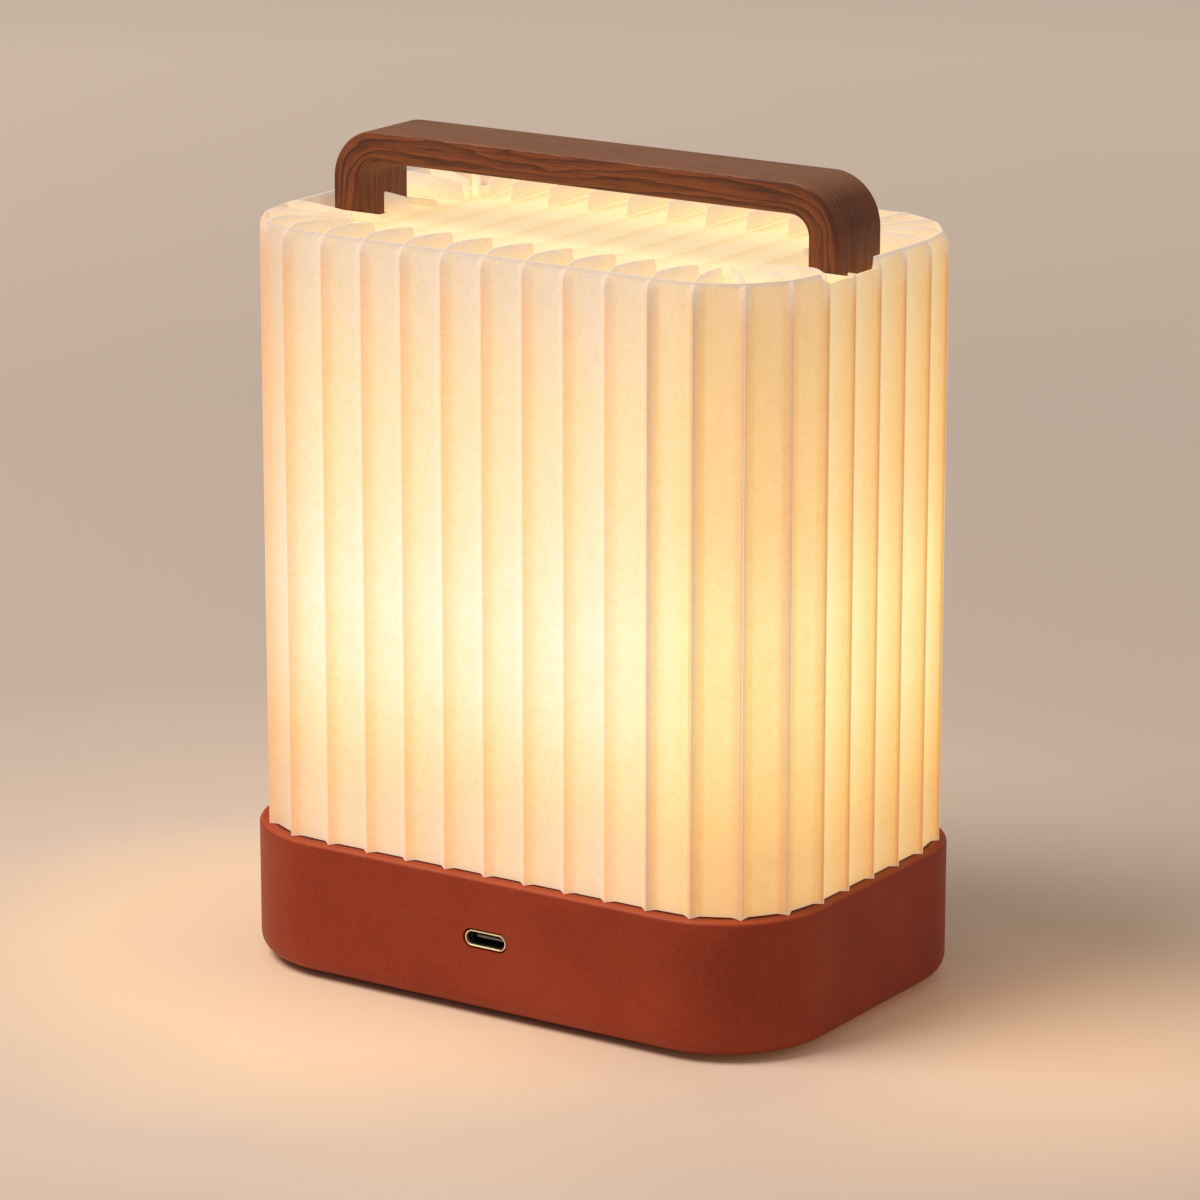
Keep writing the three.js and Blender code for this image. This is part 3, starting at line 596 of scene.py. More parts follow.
def ringPiece(name, size, loopAt, place, inwards):
    # A ring on the front or back wall, where inwards is 1 or -1 along y.
    section, face = lipSection(size["wall"], size["depth"], size["rounding"]), size["face"]
    verts = []
    for offset, back in section:
        y = face + inwards * back
        verts += [(place["offset"] + a, y, place["height"] + b) for a, b in loopAt(offset)]
    return meshPiece(name, verts, ringFaces(len(section), len(loopAt(0))), paleGold)


def turned(name, size, placed, material=None):
    # A solid of revolution: placed gives the point for two places on the circle and one along the axis.
    verts = []
    for radius, along in size["profile"]:
        verts += [placed(a, b, along) for a, b in circle(radius, size["columns"])]
    faces = ringFaces(len(size["profile"]), size["columns"], closed=False)
    return meshPiece(name, verts, faces, material)


socketTrim = {"length": 10.4, "thickness": 3.6, "wall": 0.34, "depth": 0.8, "rounding": 0.13, "face": -45.8}
bezel = {"radius": 5.8, "wall": 1.0, "depth": 1.0, "rounding": 0.3, "face": 45.8, "columns": 64}
pushButton = {
    # (radius, y) from the middle of the dished cap back to the end of the stem
    "profile": [(0, 45.3), (1.5, 45.32), (3, 45.4), (3.7, 45.5), (4.05, 45.58), (4.25, 45.6), (4.4, 45.54),
                (4.5, 45.38), (4.5, 42.2), (5.6, 42.2), (5.6, 41.2), (2, 41.2), (2, 39.8), (0, 39.8)],
    "columns": 64,
}


def makeTrim():
    def slotLoop(offset):
        return stadium(socketTrim["length"] - 2 * offset, socketTrim["thickness"] - 2 * offset)

    def roundLoop(offset):
        return circle(bezel["radius"] - offset, bezel["columns"])

    installed(ringPiece("socketTrim", socketTrim, slotLoop, socketPlace, 1), "trim", "socket_ring")
    installed(ringPiece("buttonBezel", bezel, roundLoop, buttonPlace, -1), "trim", "button_ring")
    cap = turned("pushButtonCap", pushButton, lambda a, b, y: (a, y, buttonPlace["height"] + b), paleGold)
    installed(cap, "trim", "power_button", body="button")


makeTrim()
print("socket trim and button made")


# Rubber feet and cover screws, four of each

rubberFoot = {
    # (radius, height) from the middle of the sole round to the middle of the top
    "profile": [(0, 0.25), (2.4, 0.25), (2.8, 0.12), (3.0, 0.0), (3.3, 0.0), (3.5, 0.14), (3.7, 0.14),
                (3.9, 0.0), (4.6, 0.0), (4.88, 0.12), (5.0, 0.4), (5.0, 1.8), (0, 1.8)],
    "columns": 48,
    "spacing": (84, 62),
}
coverScrew = {
    # (radius, height) from the middle of the head's face to the end of the shank
    "profile": [(0, 1.2), (1.9, 1.2), (2.2, 1.26), (2.36, 1.42), (2.4, 1.6), (2.4, 2.1), (1.15, 2.1),
                (1.15, 11.6), (0.8, 11.9), (0, 11.9)],
    "columns": 40,
    "spacing": (108, 60),
    "recess": {"long": 1.35, "short": 0.24, "depth": 0.62, "corner": 0.3},
}


def turnedUnit(name, size):
    return turned(name, size, lambda a, b, z: (a, b, z))


def crossPunch(size, face):
    far, near, corner = size["long"], size["short"], size["corner"]
    quarter = [(far, -near), (far, near), (corner, corner)]
    loop = []
    for turn in range(4):
        angle = math.pi / 2 * turn
        loop += [(x * math.cos(angle) - y * math.sin(angle), x * math.sin(angle) + y * math.cos(angle))
                 for x, y in quarter]
    return prism("crossPunch", [(x, y, z) for z in (face - 1, face + size["depth"]) for x, y in loop])


# Pleated paper shade: one panel is repeated and bent round the outline, and so is one blade

pleats = {
    "count": 40,
    "inset": 2.8,
    "innerInset": 3.45,
    "foot": 31.0,
    "panelTop": 163.2,
    "plate": 159.0,
    "depth": 1.3,
    "crestHalf": 0.2,
    "crestFall": 0.1,  # how much lower the crest is at its side, as a share
    "flank": 1.9,
    "hollow": 1.35,  # 1 gives straight flanks
    "taper": 0.6,  # how the flanks narrow where the crest rounds back over the top
    "bulgeShare": 0.2,  # how much of the corner's roundness the panels between two pleats keep
    "footDrop": 0.24,
    "crown": 0.8,
    "crownDrop": 1.0,
    "shoulderRise": 3.8,
    "shoulderRun": 4.5,
    "notchLevel": 160.7,
    # the notch in the right end, for a handle's leg: along y, where its front and its back edge run
    "notchFront": (-22.5, -19.6),
    "notchBack": (-0.9, -0.1),
    "endFrom": 50,  # the notches are further than this from the middle
    # the pleat in the notch keeps a low tip
    "tipPlace": -10.09,
    "tipReach": (0.15, 0.6),
    "tipRise": 0.8,
    "sewing": 0.004,  # panels' edges closer than this are joined
    "seed": 4,
}

paper = {
    "body": "#b7a68d",
    "roughness": 0.85,
    "specular": 0.2,
    "strength": 0.8,
    # glow by level from the foot to the top, as linear colours: on the front, and on the ends
    "frontGlow": [(0.0, (0.74, 0.53, 0.34)), (0.083, (0.79, 0.55, 0.34)), (0.146, (0.85, 0.61, 0.33)),
                  (0.226, (0.92, 0.73, 0.42)), (0.304, (0.98, 0.83, 0.56)), (0.42, (0.99, 0.86, 0.63)),
                  (0.62, (0.94, 0.74, 0.46)), (0.777, (0.83, 0.64, 0.385)), (0.935, (0.69, 0.54, 0.405)),
                  (1.0, (0.65, 0.52, 0.405))],
    "endGlow": [(0.0, (0.82, 0.52, 0.21)), (0.083, (0.87, 0.56, 0.22)), (0.146, (0.98, 0.67, 0.25)),
                (0.304, (1.03, 0.90, 0.42)), (0.46, (1.03, 0.94, 0.47)), (0.62, (1.0, 0.74, 0.34)),
                (0.777, (0.91, 0.65, 0.30)), (0.935, (0.78, 0.57, 0.30)), (1.0, (0.76, 0.56, 0.31))],
    # painted shade and highlight across each pleat, as factors on the glow: the flanks beside a crest darker
    # or paler, one way on the front, another on the right end and the near corner
    "frontAcross": [(0.0, (1.05, 0.86, 0.80)), (0.022, (1.15, 0.79, 0.57)), (0.07, (1.18, 0.875, 0.645)),
                    (0.15, (1.1, 0.93, 0.73)), (0.3, (1.0, 0.975, 0.855)), (0.5, (1.0, 1.0, 0.98)),
                    (0.72, (1.0, 1.02, 1.05)), (0.9, (1.0, 1.0, 1.12)), (0.95, (1.0, 0.9, 0.92)),
                    (1.0, (1.0, 0.84, 0.78))],
    "endAcross": [(0.0, (0.92, 0.88, 1.0)), (0.04, (1.02, 1.1, 1.4)), (0.1, (1.05, 1.18, 1.5)),
                  (0.2, (1.02, 1.03, 1.1)), (0.5, (1.0, 0.96, 0.9)), (0.75, (1.0, 0.88, 0.7)),
                  (0.9, (0.96, 0.78, 0.55)), (0.955, (0.81, 0.55, 0.31)), (0.978, (0.6, 0.3, 0.08)),
                  (0.992, (0.85, 0.75, 0.8)), (1.0, (0.92, 0.88, 1.0))],
    "cornerAcross": [(0.0, (0.62, 0.55, 0.85)), (0.03, (0.65, 0.55, 0.65)), (0.1, (0.88, 0.68, 0.5)),
                     (0.2, (0.97, 0.76, 0.5)), (0.27, (0.98, 0.87, 0.72)), (0.74, (0.98, 0.865, 0.76)),
                     (0.8, (0.96, 0.81, 0.68)), (0.86, (0.9, 0.65, 0.48)), (0.93, (0.78, 0.57, 0.52)),
                     (0.98, (0.55, 0.43, 0.53)), (1.0, (0.6, 0.5, 0.8))],
    # painted shade: the glow on the left end is dimmed by this
    "leftEndShade": (0.74, 0.64, 0.67),
    # where the front's look becomes the right end's, the near corner's and the left end's, in x and y
    "endX": (24, 60),
    "cornerX": (37.5, 40.2),
    "cornerShift": 15,  # a panel's right edge counts as this much further left
    "cornerY": (-26, -19),
    "leftX": (-62, -40),
    # painted highlight: near the top, beside each crest, the glow turns to a pale grey where the paper folds
    # over
    "litFoldBand": (9.0, 1.0),  # below the panels' top edge
    "litFoldShares": (0.6, 0.12),
    # painted light along the panels' top edge and their foot: the glow turns pale grey there
    "litEdgeBand": (0.9, 0.3),  # below and above the panels' top edge
    "footBand": (0.2, 0.8),  # above the foot
    "litEdgeShares": (0.7, 0.3),
    "frayScale": 900,
    "fray": 0.9,
    # the pale greys of the painted light on the panels' edges and of the painted highlight on the folds
    "hem": "#b6b1af",
    "fold": "#c9bdb0",
}


pulp = {"cloudScale": 210, "cloudDepth": 0.12, "fibreScale": 520, "fibreDepth": 0.1, "bodyShare": 0.6}


def mottled(place, glow, strength=1.0):
    # Soft clouds and worm-like fibres, as factors on a glow.
    cloud = noise(place, pulp["cloudScale"], 5, 0.65, 0.5)
    curls = noise(place, pulp["fibreScale"], 2, 0.5, 1.6)
    fibre = maths("ABSOLUTE", minus(curls, 0.5))
    soft = ramp(cloud, [(0.28, (0.97, 0.96, 0.93)), (0.72, (1.02, 1.02, 1.04))])
    threads = ramp(fibre, [(0.0, (1.04, 1.05, 1.1)), (0.035, (1.0, 1.0, 1.0)),
                           (0.16, (0.98, 0.96, 0.91))])
    glow = tinted(glow, tinted(soft, threads), strength)
    relief = bump(fibre, pulp["fibreDepth"], 0.4, bump(cloud, pulp["cloudDepth"], 0.3))
    return glow, relief


def lightUp(shader, place, look, glow, relief):
    # The light from inside as emission, over a mottled body colour.
    shader.inputs["Emission Strength"].default_value = look["strength"]
    body, _ = mottled(place, look["body"], pulp["bodyShare"])
    plug(shader, Emission_Color=glow, Base_Color=body, Normal=relief)


def paperMaterial(look, size):
    material, shader, place = newMaterial(
        "glowingPaper", Roughness=look["roughness"], Specular_IOR_Level=look["specular"])
    across = addNode("ShaderNodeAttribute", {}, shader.id_data, attribute_name="across").outputs["Fac"]
    parts = axes(place)
    top = size["panelTop"] * mm
    level = addNode("ShaderNodeMapRange", {
        "Value": parts["Z"], 1: size["foot"] * mm, 2: top + size["crown"] * mm}).outputs[0]
    endShare = between(parts["X"], *span(look["endX"]))
    shifted = maths("MULTIPLY_ADD", across, -look["cornerShift"] * mm, parts["X"])
    cornerShare = times(between(shifted, *span(look["cornerX"])),
                        between(parts["Y"], *span(look["cornerY"]), 1.0, 0.0))
    leftShadeShare = between(parts["X"], *span(look["leftX"]), 1.0, 0.0)
    glow = mixed(endShare, *[ramp(level, look[name]) for name in ("frontGlow", "endGlow")])
    # painted shade and highlight across each pleat
    front, end, corner = (ramp(across, look[name + "Across"]) for name in ("front", "end", "corner"))
    factor = mixed(cornerShare, mixed(endShare, front, end), corner)
    glow = tinted(glow, factor)
    # painted shade on the left end
    glow = mixed(leftShadeShare, glow, tinted(glow, look["leftEndShade"]))
    nearRidge = maths("MINIMUM", across, minus(1.0, across))
    # painted highlight where the crests fold over the top
    high = between(parts["Z"], *[top - drop for drop in span(look["litFoldBand"])])
    fold = times(high, between(nearRidge, 0.03, 0.25, *look["litFoldShares"]))
    glow = mixed(fold, glow, look["fold"])
    # painted light along the top edge, its line wavering, and along the foot
    frayed = times(noise(place, look["frayScale"], 2, 0.6), look["fray"] * mm)
    below, above = span(look["litEdgeBand"])
    topShare, footShare = look["litEdgeShares"]
    topLitEdge = between(plus(parts["Z"], frayed), top - below, top + above, 0.0, topShare)
    footRise = [size["foot"] * mm + rise for rise in span(look["footBand"])]
    footLitEdge = between(parts["Z"], *footRise, footShare, 0.0)
    glow = mixed(maths("MAXIMUM", topLitEdge, footLitEdge), glow, look["hem"])
    glow, relief = mottled(place, glow)
    lightUp(shader, place, look, glow, relief)
    return material


shadePaper = paperMaterial(paper, pleats)


def crestReach(size, z):
    # How far a pleat stands out of its panel at a level: it rounds back over the top.
    shoulderX = size["depth"] - size["shoulderRun"]
    shoulderZ = size["panelTop"] + size["crown"] - size["shoulderRise"]
    if z <= shoulderZ:
        return size["depth"]
    share = min(1.0, (z - shoulderZ) / size["shoulderRise"])
    return shoulderX + size["shoulderRun"] * math.sqrt(1 - share * share)


def ridgeHeight(size, offset, z):
    # The pleat's soft V: rounded crest, hollow flanks that run out into the panel.
    reach = crestReach(size, z)
    if reach <= 0:
        return 0.0
    crest = size["crestHalf"]
    width = crest + (size["flank"] - crest) * (reach / size["depth"]) ** size["taper"]
    if offset <= crest:
        return reach * (1 - size["crestFall"] * (offset / crest) ** 2)
    share = min(1.0, (offset - crest) / (width - crest))
    return reach * (1 - size["crestFall"]) * (1 - share) ** size["hollow"]


panelGrid = {
    "offsets": [0, 0.1, 0.2, 0.32, 0.5, 0.75, 1.05, 1.4, 1.9, 2.4, 3.3],  # from a crest to beyond its flank
    "aboveFoot": [0, 0.25, 0.7, 1.5, 3, 6],
    "steps": 12,
    "belowTop": [9, 6, 4.5, 3.6, 3, 2.6, 2.3, 2.0, 1.7, 1.4, 1.15, 0.9, 0.7, 0.5, 0.3, 0.15, 0],
    "innerShares": [1, 0.75, 0.5, 0.25, 0],
}


def pitchOf(size):
    return perimeter(size["inset"]) / size["count"]


def makePanel(size, grid):
    pitch = pitchOf(size)
    half = grid["offsets"] + [pitch / 2]
    offsets = half + [pitch - u for u in reversed(half[:-1])]
    foot, top = size["foot"], size["panelTop"]
    levels = [foot + rise for rise in grid["aboveFoot"]]
    start, end = levels[-1], top - grid["belowTop"][0]
    levels += [start + (end - start) * i / grid["steps"] for i in range(1, grid["steps"])]
    levels += [top - drop for drop in grid["belowTop"]]
    rows = [(z, False) for z in levels]
    rows += [(foot + (top - foot) * share, True) for share in grid["innerShares"]]
    verts, across, inside = [], [], []
    for z, inner in rows:
        for u in offsets:
            out = size["inset"] - size["innerInset"] if inner else ridgeHeight(size, min(u, pitch - u), z)
            drop = size["footDrop"] * max(0.0, out) / size["depth"] if z == foot else 0
            verts.append((u, out, z - drop))
            across.append(u / pitch)
            inside.append(1.0 if inner else 0.0)
    mesh = newMesh("panel", verts, ringFaces(len(rows), len(offsets), around=False))
    for name, values in (("across", across), ("inside", inside)):
        mesh.attributes.new(name, "FLOAT", "POINT").data.foreach_set("value", values)
    return newPiece("panel", mesh)


def outlineCurve(inset, count=400):
    data = bpy.data.curves.new("shadeOutline", "CURVE")
    data.dimensions = "3D"
    line = data.splines.new("POLY")
    line.points.add(count - 1)
    length = perimeter(inset)
    for i in range(count):
        x, y = outlinePoint(inset, length * i / count)
        line.points[i].co = (x * mm, y * mm, 0, 1)
    line.use_cyclic_u = True
    return newPiece("shadeOutline", data)


def onOutline(curve, length):
    # Point on the outline, heading and outward direction.
    found = addNode("GeometryNodeSampleCurve", {"Curves": curve, "Length": length}, mode="LENGTH")
    outward = vectors("CROSS_PRODUCT", found.outputs["Tangent"], (0, 0, 1))
    return found.outputs["Position"], found.outputs["Tangent"], outward


def tagging(geometry, name, value, domain):
    inputs = {"Geometry": geometry, "Name": name, "Value": value}
    settings = {"data_type": "FLOAT", "domain": domain}
    return addNode("GeometryNodeStoreNamedAttribute", inputs, **settings).outputs[0]


def repeatAlong(entry, selection=None):
    # Copies of the unit piece, one for each pleat, each with its own number as an attribute.
    points = addNode("GeometryNodeMeshLine", {"Count": entry.outputs["Count"], "Offset": (0, 0, 0)})
    number = addNode("GeometryNodeInputIndex", {}, entry.id_data).outputs[0]
    tagged = tagging(points.outputs[0], "number", number, "POINT")
    inputs = {"Points": tagged, "Instance": unitGeometry(entry)}
    if selection is not None:
        inputs["Selection"] = selection(number)
    return addNode("GeometryNodeInstanceOnPoints", inputs).outputs[0]


def readNumber(entry, name):
    inputs = {"Name": name}
    return addNode("GeometryNodeInputNamedAttribute", inputs, entry.id_data, data_type="FLOAT").outputs[0]


def underCeiling(placed, ceiling):
    # The places, with none higher than the ceiling.
    xyz = axes(placed)
    low = maths("MINIMUM", xyz["Z"], ceiling)
    return fromAxes(X=xyz["X"], Y=xyz["Y"], Z=low)


def notchCeiling(placed, size):
    # The panels' ceiling: it dips for the handle's legs, with a low tip at the pleat between.
    # The left end is the right one turned.
    xyz = axes(placed)
    side = times(xyz["Y"], maths("SIGN", xyz["X"]))
    inNotch = times(between(side, *span(size["notchFront"])),
                    between(side, *span(size["notchBack"]), 1.0, 0.0))
    atEnd = maths("GREATER_THAN", maths("ABSOLUTE", xyz["X"]), size["endFrom"] * mm)
    fromTip = maths("ABSOLUTE", minus(side, size["tipPlace"] * mm))
    tip = between(fromTip, *span(size["tipReach"]), size["tipRise"] * mm, 0.0)
    floor = plus(tip, size["notchLevel"] * mm)
    crown = (size["panelTop"] + size["crown"]) * mm
    return mixedFloat(times(inNotch, atEnd), crown, floor)


def bendingTree(name, more):
    # A tree that repeats a unit piece along an outline, with inputs of its own beside the common ones.
    entry, outlet = newTree(name, [
        ("Unit", "Object"), ("Outline", "Object"), ("Count", "Int"),
        ("Pitch", "Float"), *more, ("Paper", "Material")])
    parts = axes(addNode("GeometryNodeInputPosition", {}, entry.id_data).outputs[0])
    return entry, outlet, parts, unitGeometry(entry, "Outline")


def bendAlong(size, unit, tree, name, values):
    outline = outlineCurve(size["inset"])
    piece = runTree(tree, name, {
        "Unit": unit, "Outline": outline, "Count": size["count"], "Pitch": pitchOf(size) * mm, **values})
    bpy.data.objects.remove(unit)
    bpy.data.objects.remove(outline)
    tidyMesh(piece.data, 40)
    return piece


def panelTree(size):
    entry, outlet, parts, curve = bendingTree("bendPanels", [("Bulge", "Float")])
    flat = shaped("RealizeInstances", repeatAlong(entry))
    number, across, inside = (readNumber(entry, name) for name in ("number", "across", "inside"))
    pitch = entry.outputs["Pitch"]
    start = times(number, pitch)
    here, _, outHere = onOutline(curve, start)
    there, _, outThere = onOutline(curve, plus(start, pitch))
    along, _, _ = onOutline(curve, maths("MULTIPLY_ADD", across, pitch, start))
    chord = mixedVectors(across, here, there)
    bulge = maths("MAXIMUM", entry.outputs["Bulge"], inside)
    foot = mixedVectors(bulge, chord, along)
    outward = vectors("NORMALIZE", mixedVectors(across, outHere, outThere))
    lifted = fromAxes(Z=parts["Z"])
    placed = vectors("ADD", vectors("ADD", foot, lifted), vectors("SCALE", outward, scale=parts["Y"]))
    final = underCeiling(placed, notchCeiling(placed, size))
    bent = shaped("SetPosition", flat, Position=final)
    sewn = shaped("MergeByDistance", bent, Distance=size["sewing"] * mm)
    return finishTree(outlet, sewn, entry.outputs["Paper"])


def makeSkin(size):
    piece = bendAlong(size, makePanel(size, panelGrid), panelTree(size), "pleatedSkin", {
        "Bulge": size["bulgeShare"], "Paper": shadePaper})
    return installed(piece, "shade_paper", "shade_skin")


skin = makeSkin(pleats)
print("pleated skin made:", len(skin.data.polygons), "faces")


blades = {
    "inner": -18.3,
    "outer": 0.3,
    "stubOuter": -11.3,  # the stub on a handle leg's inner side ends here
    "thickness": 0.5,
    "lean": 0.3,
    "corner": 0.9,
    "slant": 0.8,
    "layers": [(-0.5, 0.2), (-0.3, 0.0), (0.3, 0.0), (0.5, 0.2)],  # share of the thickness, drawn in by
    "cornerSteps": 5,
    "slopeSteps": 8,
    "shoulderSteps": 12,
    # the blades beside a leg, this far from the middle in y, dip towards the end in x
    "dipPlace": 10.09,
    "dipReach": (46.0, 50.0),
    "rimDrop": 0.6,  # a blade's round shoulder ends this far below the panels' top edge
    "rimLap": 0.2,  # and its outer edge goes this much lower
}


def bladeOutline(size, row, outer):
    # Side view of a blade as (inward distance as negative, level) points, round its edge.
    crownTop = size["panelTop"] + size["crown"]
    shoulderX = size["depth"] - size["shoulderRun"]
    corner, innerTop = row["corner"], crownTop - size["crownDrop"]
    cornerX = row["inner"] + row["slant"] + corner
    points = [(outer, size["plate"]), (row["inner"], size["plate"])]
    points += arcPoints(cornerX, innerTop - corner, corner, math.pi, math.pi / 2, row["cornerSteps"])
    for i in range(1, row["slopeSteps"] + 1):
        share = i / row["slopeSteps"]
        x = cornerX + (shoulderX - cornerX) * share
        if x >= outer:
            break
        points.append((x, innerTop + size["crownDrop"] * math.sin(share * math.pi / 2)))
    for i in range(1, row["shoulderSteps"] + 1):
        angle = math.pi / 2 * (1 - i / row["shoulderSteps"])
        x = shoulderX + size["shoulderRun"] * math.cos(angle)
        z = crownTop - size["shoulderRise"] * (1 - math.sin(angle))
        if x >= outer or z < size["panelTop"] - row["rimDrop"]:
            break
        points.append((x, z))
    return points + [(outer, points[-1][1] - row["rimLap"])]


def makeBlade(size, row, outer):
    points = bladeOutline(size, row, outer)
    count = len(points)
    centre = (sum(p[0] for p in points) / count, sum(p[1] for p in points) / count)
    verts = []
    for share, by in row["layers"]:
        for x, z in points:
            dx, dz = centre[0] - x, centre[1] - z
            inwards = by / math.hypot(dx, dz)
            verts.append((share * row["thickness"], x + dx * inwards, z + dz * inwards))
    faces = ringFaces(len(row["layers"]), count, closed=False)
    faces += [tuple(range(count)), tuple(range(len(verts) - count, len(verts)))]
    mesh = newMesh("blade", verts, faces)
    work = bmesh.new()
    work.from_mesh(mesh)
    bmesh.ops.triangulate(work, faces=[f for f in work.faces if len(f.verts) > 4])
    bmesh.ops.recalc_face_normals(work, faces=work.faces)
    work.to_mesh(mesh)
    work.free()
    return newPiece("blade", mesh)


def bladeTree(size, row, stubs):
    entry, outlet, parts, curve = bendingTree("standBlades", [("Lean", "Float"), ("Seed", "Int")])

    def chosen(number):
        # The two blades in the middle of the ends stand where the handle's legs are.
        quarter = maths("DIVIDE", entry.outputs["Count"], 4.0)
        past = maths("MODULO", plus(number, quarter), times(quarter, 2.0))
        return maths("COMPARE", past, 0.0, 0.1) if stubs else maths("GREATER_THAN", past, 0.5)

    copies = repeatAlong(entry, chosen)
    chance = addNode("FunctionNodeRandomValue", {2: -1.0, 3: 1.0, "Seed": entry.outputs["Seed"]},
                     data_type="FLOAT").outputs[1]
    flat = shaped("RealizeInstances", tagging(copies, "lean", chance, "INSTANCE"))
    number, lean = readNumber(entry, "number"), readNumber(entry, "lean")
    here, heading, outward = onOutline(curve, times(number, entry.outputs["Pitch"]))
    inward = maths("DIVIDE", parts["Y"], row["inner"] * mm)
    swing = times(times(inward, inward), times(lean, entry.outputs["Lean"]))
    sideways = plus(parts["X"], swing)
    lifted = fromAxes(Z=parts["Z"])
    placed = vectors("ADD", vectors("ADD", here, lifted),
                     vectors("ADD", vectors("SCALE", outward, scale=parts["Y"]),
                             vectors("SCALE", heading, scale=sideways)))
    xyz = axes(placed)
    beside = maths("COMPARE", maths("ABSOLUTE", xyz["Y"]), row["dipPlace"] * mm, 1.0 * mm)
    dip = between(maths("ABSOLUTE", xyz["X"]), *span(row["dipReach"]))
    ceiling = mixedFloat(times(beside, dip), (size["panelTop"] + size["crown"]) * mm,
                         size["notchLevel"] * mm)
    final = underCeiling(placed, ceiling)
    bent = shaped("SetPosition", flat, Position=final)
    return finishTree(outlet, bent, entry.outputs["Paper"])


bladeLook = {
    "body": "#b7a68d",
    "roughness": 0.85,
    "strength": 0.8,
    "low": (0.88, 0.64, 0.33),
    "high": (0.70, 0.54, 0.38),
    # painted light: the blades' top edges turn pale grey, as lit from above
    "edge": (0.54, 0.49, 0.45),
    "litTopBand": (1.1, 0.2),  # below the blades' highest line
    "litTopShare": 0.75,
}


def bladeMaterial(look, size):
    material, shader, place = newMaterial("bladePaper", Roughness=look["roughness"])
    height = axes(place)["Z"]
    crown = (size["panelTop"] + size["crown"]) * mm
    level = between(height, size["plate"] * mm, crown - mm)
    glow = mixed(level, look["low"], look["high"])
    # painted light on the blades' top edges
    edge = between(height, *[crown - drop for drop in span(look["litTopBand"])], 0.0, look["litTopShare"])
    glow = mixed(edge, glow, look["edge"])
    glow, relief = mottled(place, glow, 0.8)
    lightUp(shader, place, look, glow, relief)
    return material


bladePaper = bladeMaterial(bladeLook, pleats)


def makeBlades(size, row):
    for name, stubs, outer, replaced in (
            ("topBlades", False, row["outer"], ("shade_skin",)),
            ("legStubs", True, row["stubOuter"], ("pleat_stub_left", "pleat_stub_right"))):
        piece = bendAlong(size, makeBlade(size, row, outer), bladeTree(size, row, stubs), name, {
            "Lean": 0.0 if stubs else row["lean"] * mm, "Seed": size["seed"], "Paper": bladePaper})
        installed(piece, "shade_paper", *replaced)


makeBlades(pleats, blades)
print("blades made")


# Handle: one bent bar of walnut, with its grain following the bend

handle = {
    "legOuter": 62.8,
    "width": 18.2,
    "thickness": 6.6,
    "top": 178.3,
    "foot": 158.7,
    "cornerRadius": 11,
    "edge": 0.65,
    "edgeSteps": 5,
    "bendSteps": 24,
    "legSteps": 4,
    "barSteps": 24,
}

walnutLook = {
    "early": "#8c4c29",
    "middle": "#7a4023",
    "late": "#4c2512",
    "pore": "#2b140b",
    # painted sheen: the faces that look up are paler, as lit from above
    "paintedTopSheen": "#a07c5e",
    "ringWidth": 0.62,
    "ringSway": 4.2,
    "heart": (24, 15),  # where the tree's middle would lie: across the bar, and inwards
    # scales along the bar, across it and inwards
    "swayScale": (20, 110, 110),
    "broadScale": (22, 190, 190),
    "streakScale": (55, 2300, 2300),
    "streakDepth": 0.06,
    "poreScale": (210, 5600, 5600),
    "poreDepth": 0.08,
    "roughness": 0.46,
    "specular": 0.4,
}


def walnutMaterial(look):
    material, shader, _ = newMaterial("satinWalnut", Specular_IOR_Level=look["specular"])
    grain = addNode("ShaderNodeAttribute", {}, shader.id_data, attribute_name="grain").outputs["Vector"]
    parts = axes(grain)
    sway = minus(noise(scaled(grain, look["swayScale"]), 1.0, 3, 0.5), 0.5)
    aside, inwards = span(look["heart"])
    away = vectors("LENGTH", fromAxes(X=minus(parts["Y"], aside), Y=minus(parts["Z"], inwards)))
    swayed = maths("MULTIPLY_ADD", sway, look["ringSway"] * mm, away)
    rings = maths("DIVIDE", swayed, look["ringWidth"] * mm)
    ring = maths("FRACT", plus(rings, 50.0))
    tone = ramp(ring, [(0.0, look["early"]), (0.45, look["middle"]), (0.86, look["late"]),
                       (0.93, look["late"]), (1.0, look["early"])])
    broad = noise(scaled(grain, look["broadScale"]), 1.0, 3, 0.5)
    tone = mixed(between(broad, 0.35, 0.7, 0.5, 0.0), tone, look["middle"])
    tone = mixed(between(broad, 0.5, 0.75, 0.0, 0.4), tone, look["late"])
    streaks = noise(scaled(grain, look["streakScale"]), 1.0, 3, 0.65)
    fine = ramp(streaks, [(0.3, (0.62, 0.58, 0.55)), (0.52, (1.0, 1.0, 1.0)),
                          (0.7, (1.16, 1.15, 1.12))])
    tone = tinted(tone, fine)
    pores = noise(scaled(grain, look["poreScale"]), 1.0, 1, 0.5)
    holes = between(pores, 0.61, 0.68, 0.0, 0.75)
    tone = mixed(holes, tone, look["pore"])
    # painted sheen on the faces that look up
    facing = addNode("ShaderNodeNewGeometry", {}, shader.id_data).outputs["Normal"]
    upwards = axes(facing)["Z"]
    tone = mixed(between(upwards, 0.6, 0.95, 0.0, 0.3), tone, look["paintedTopSheen"])
    rough = roughened(streaks, look["roughness"], -0.12, -0.04)
    relief = bump(streaks, look["streakDepth"], 0.5, bump(times(holes, -1.0), look["poreDepth"], 0.6))
    plug(shader, Base_Color=tone, Roughness=rough, Normal=relief)
    return material


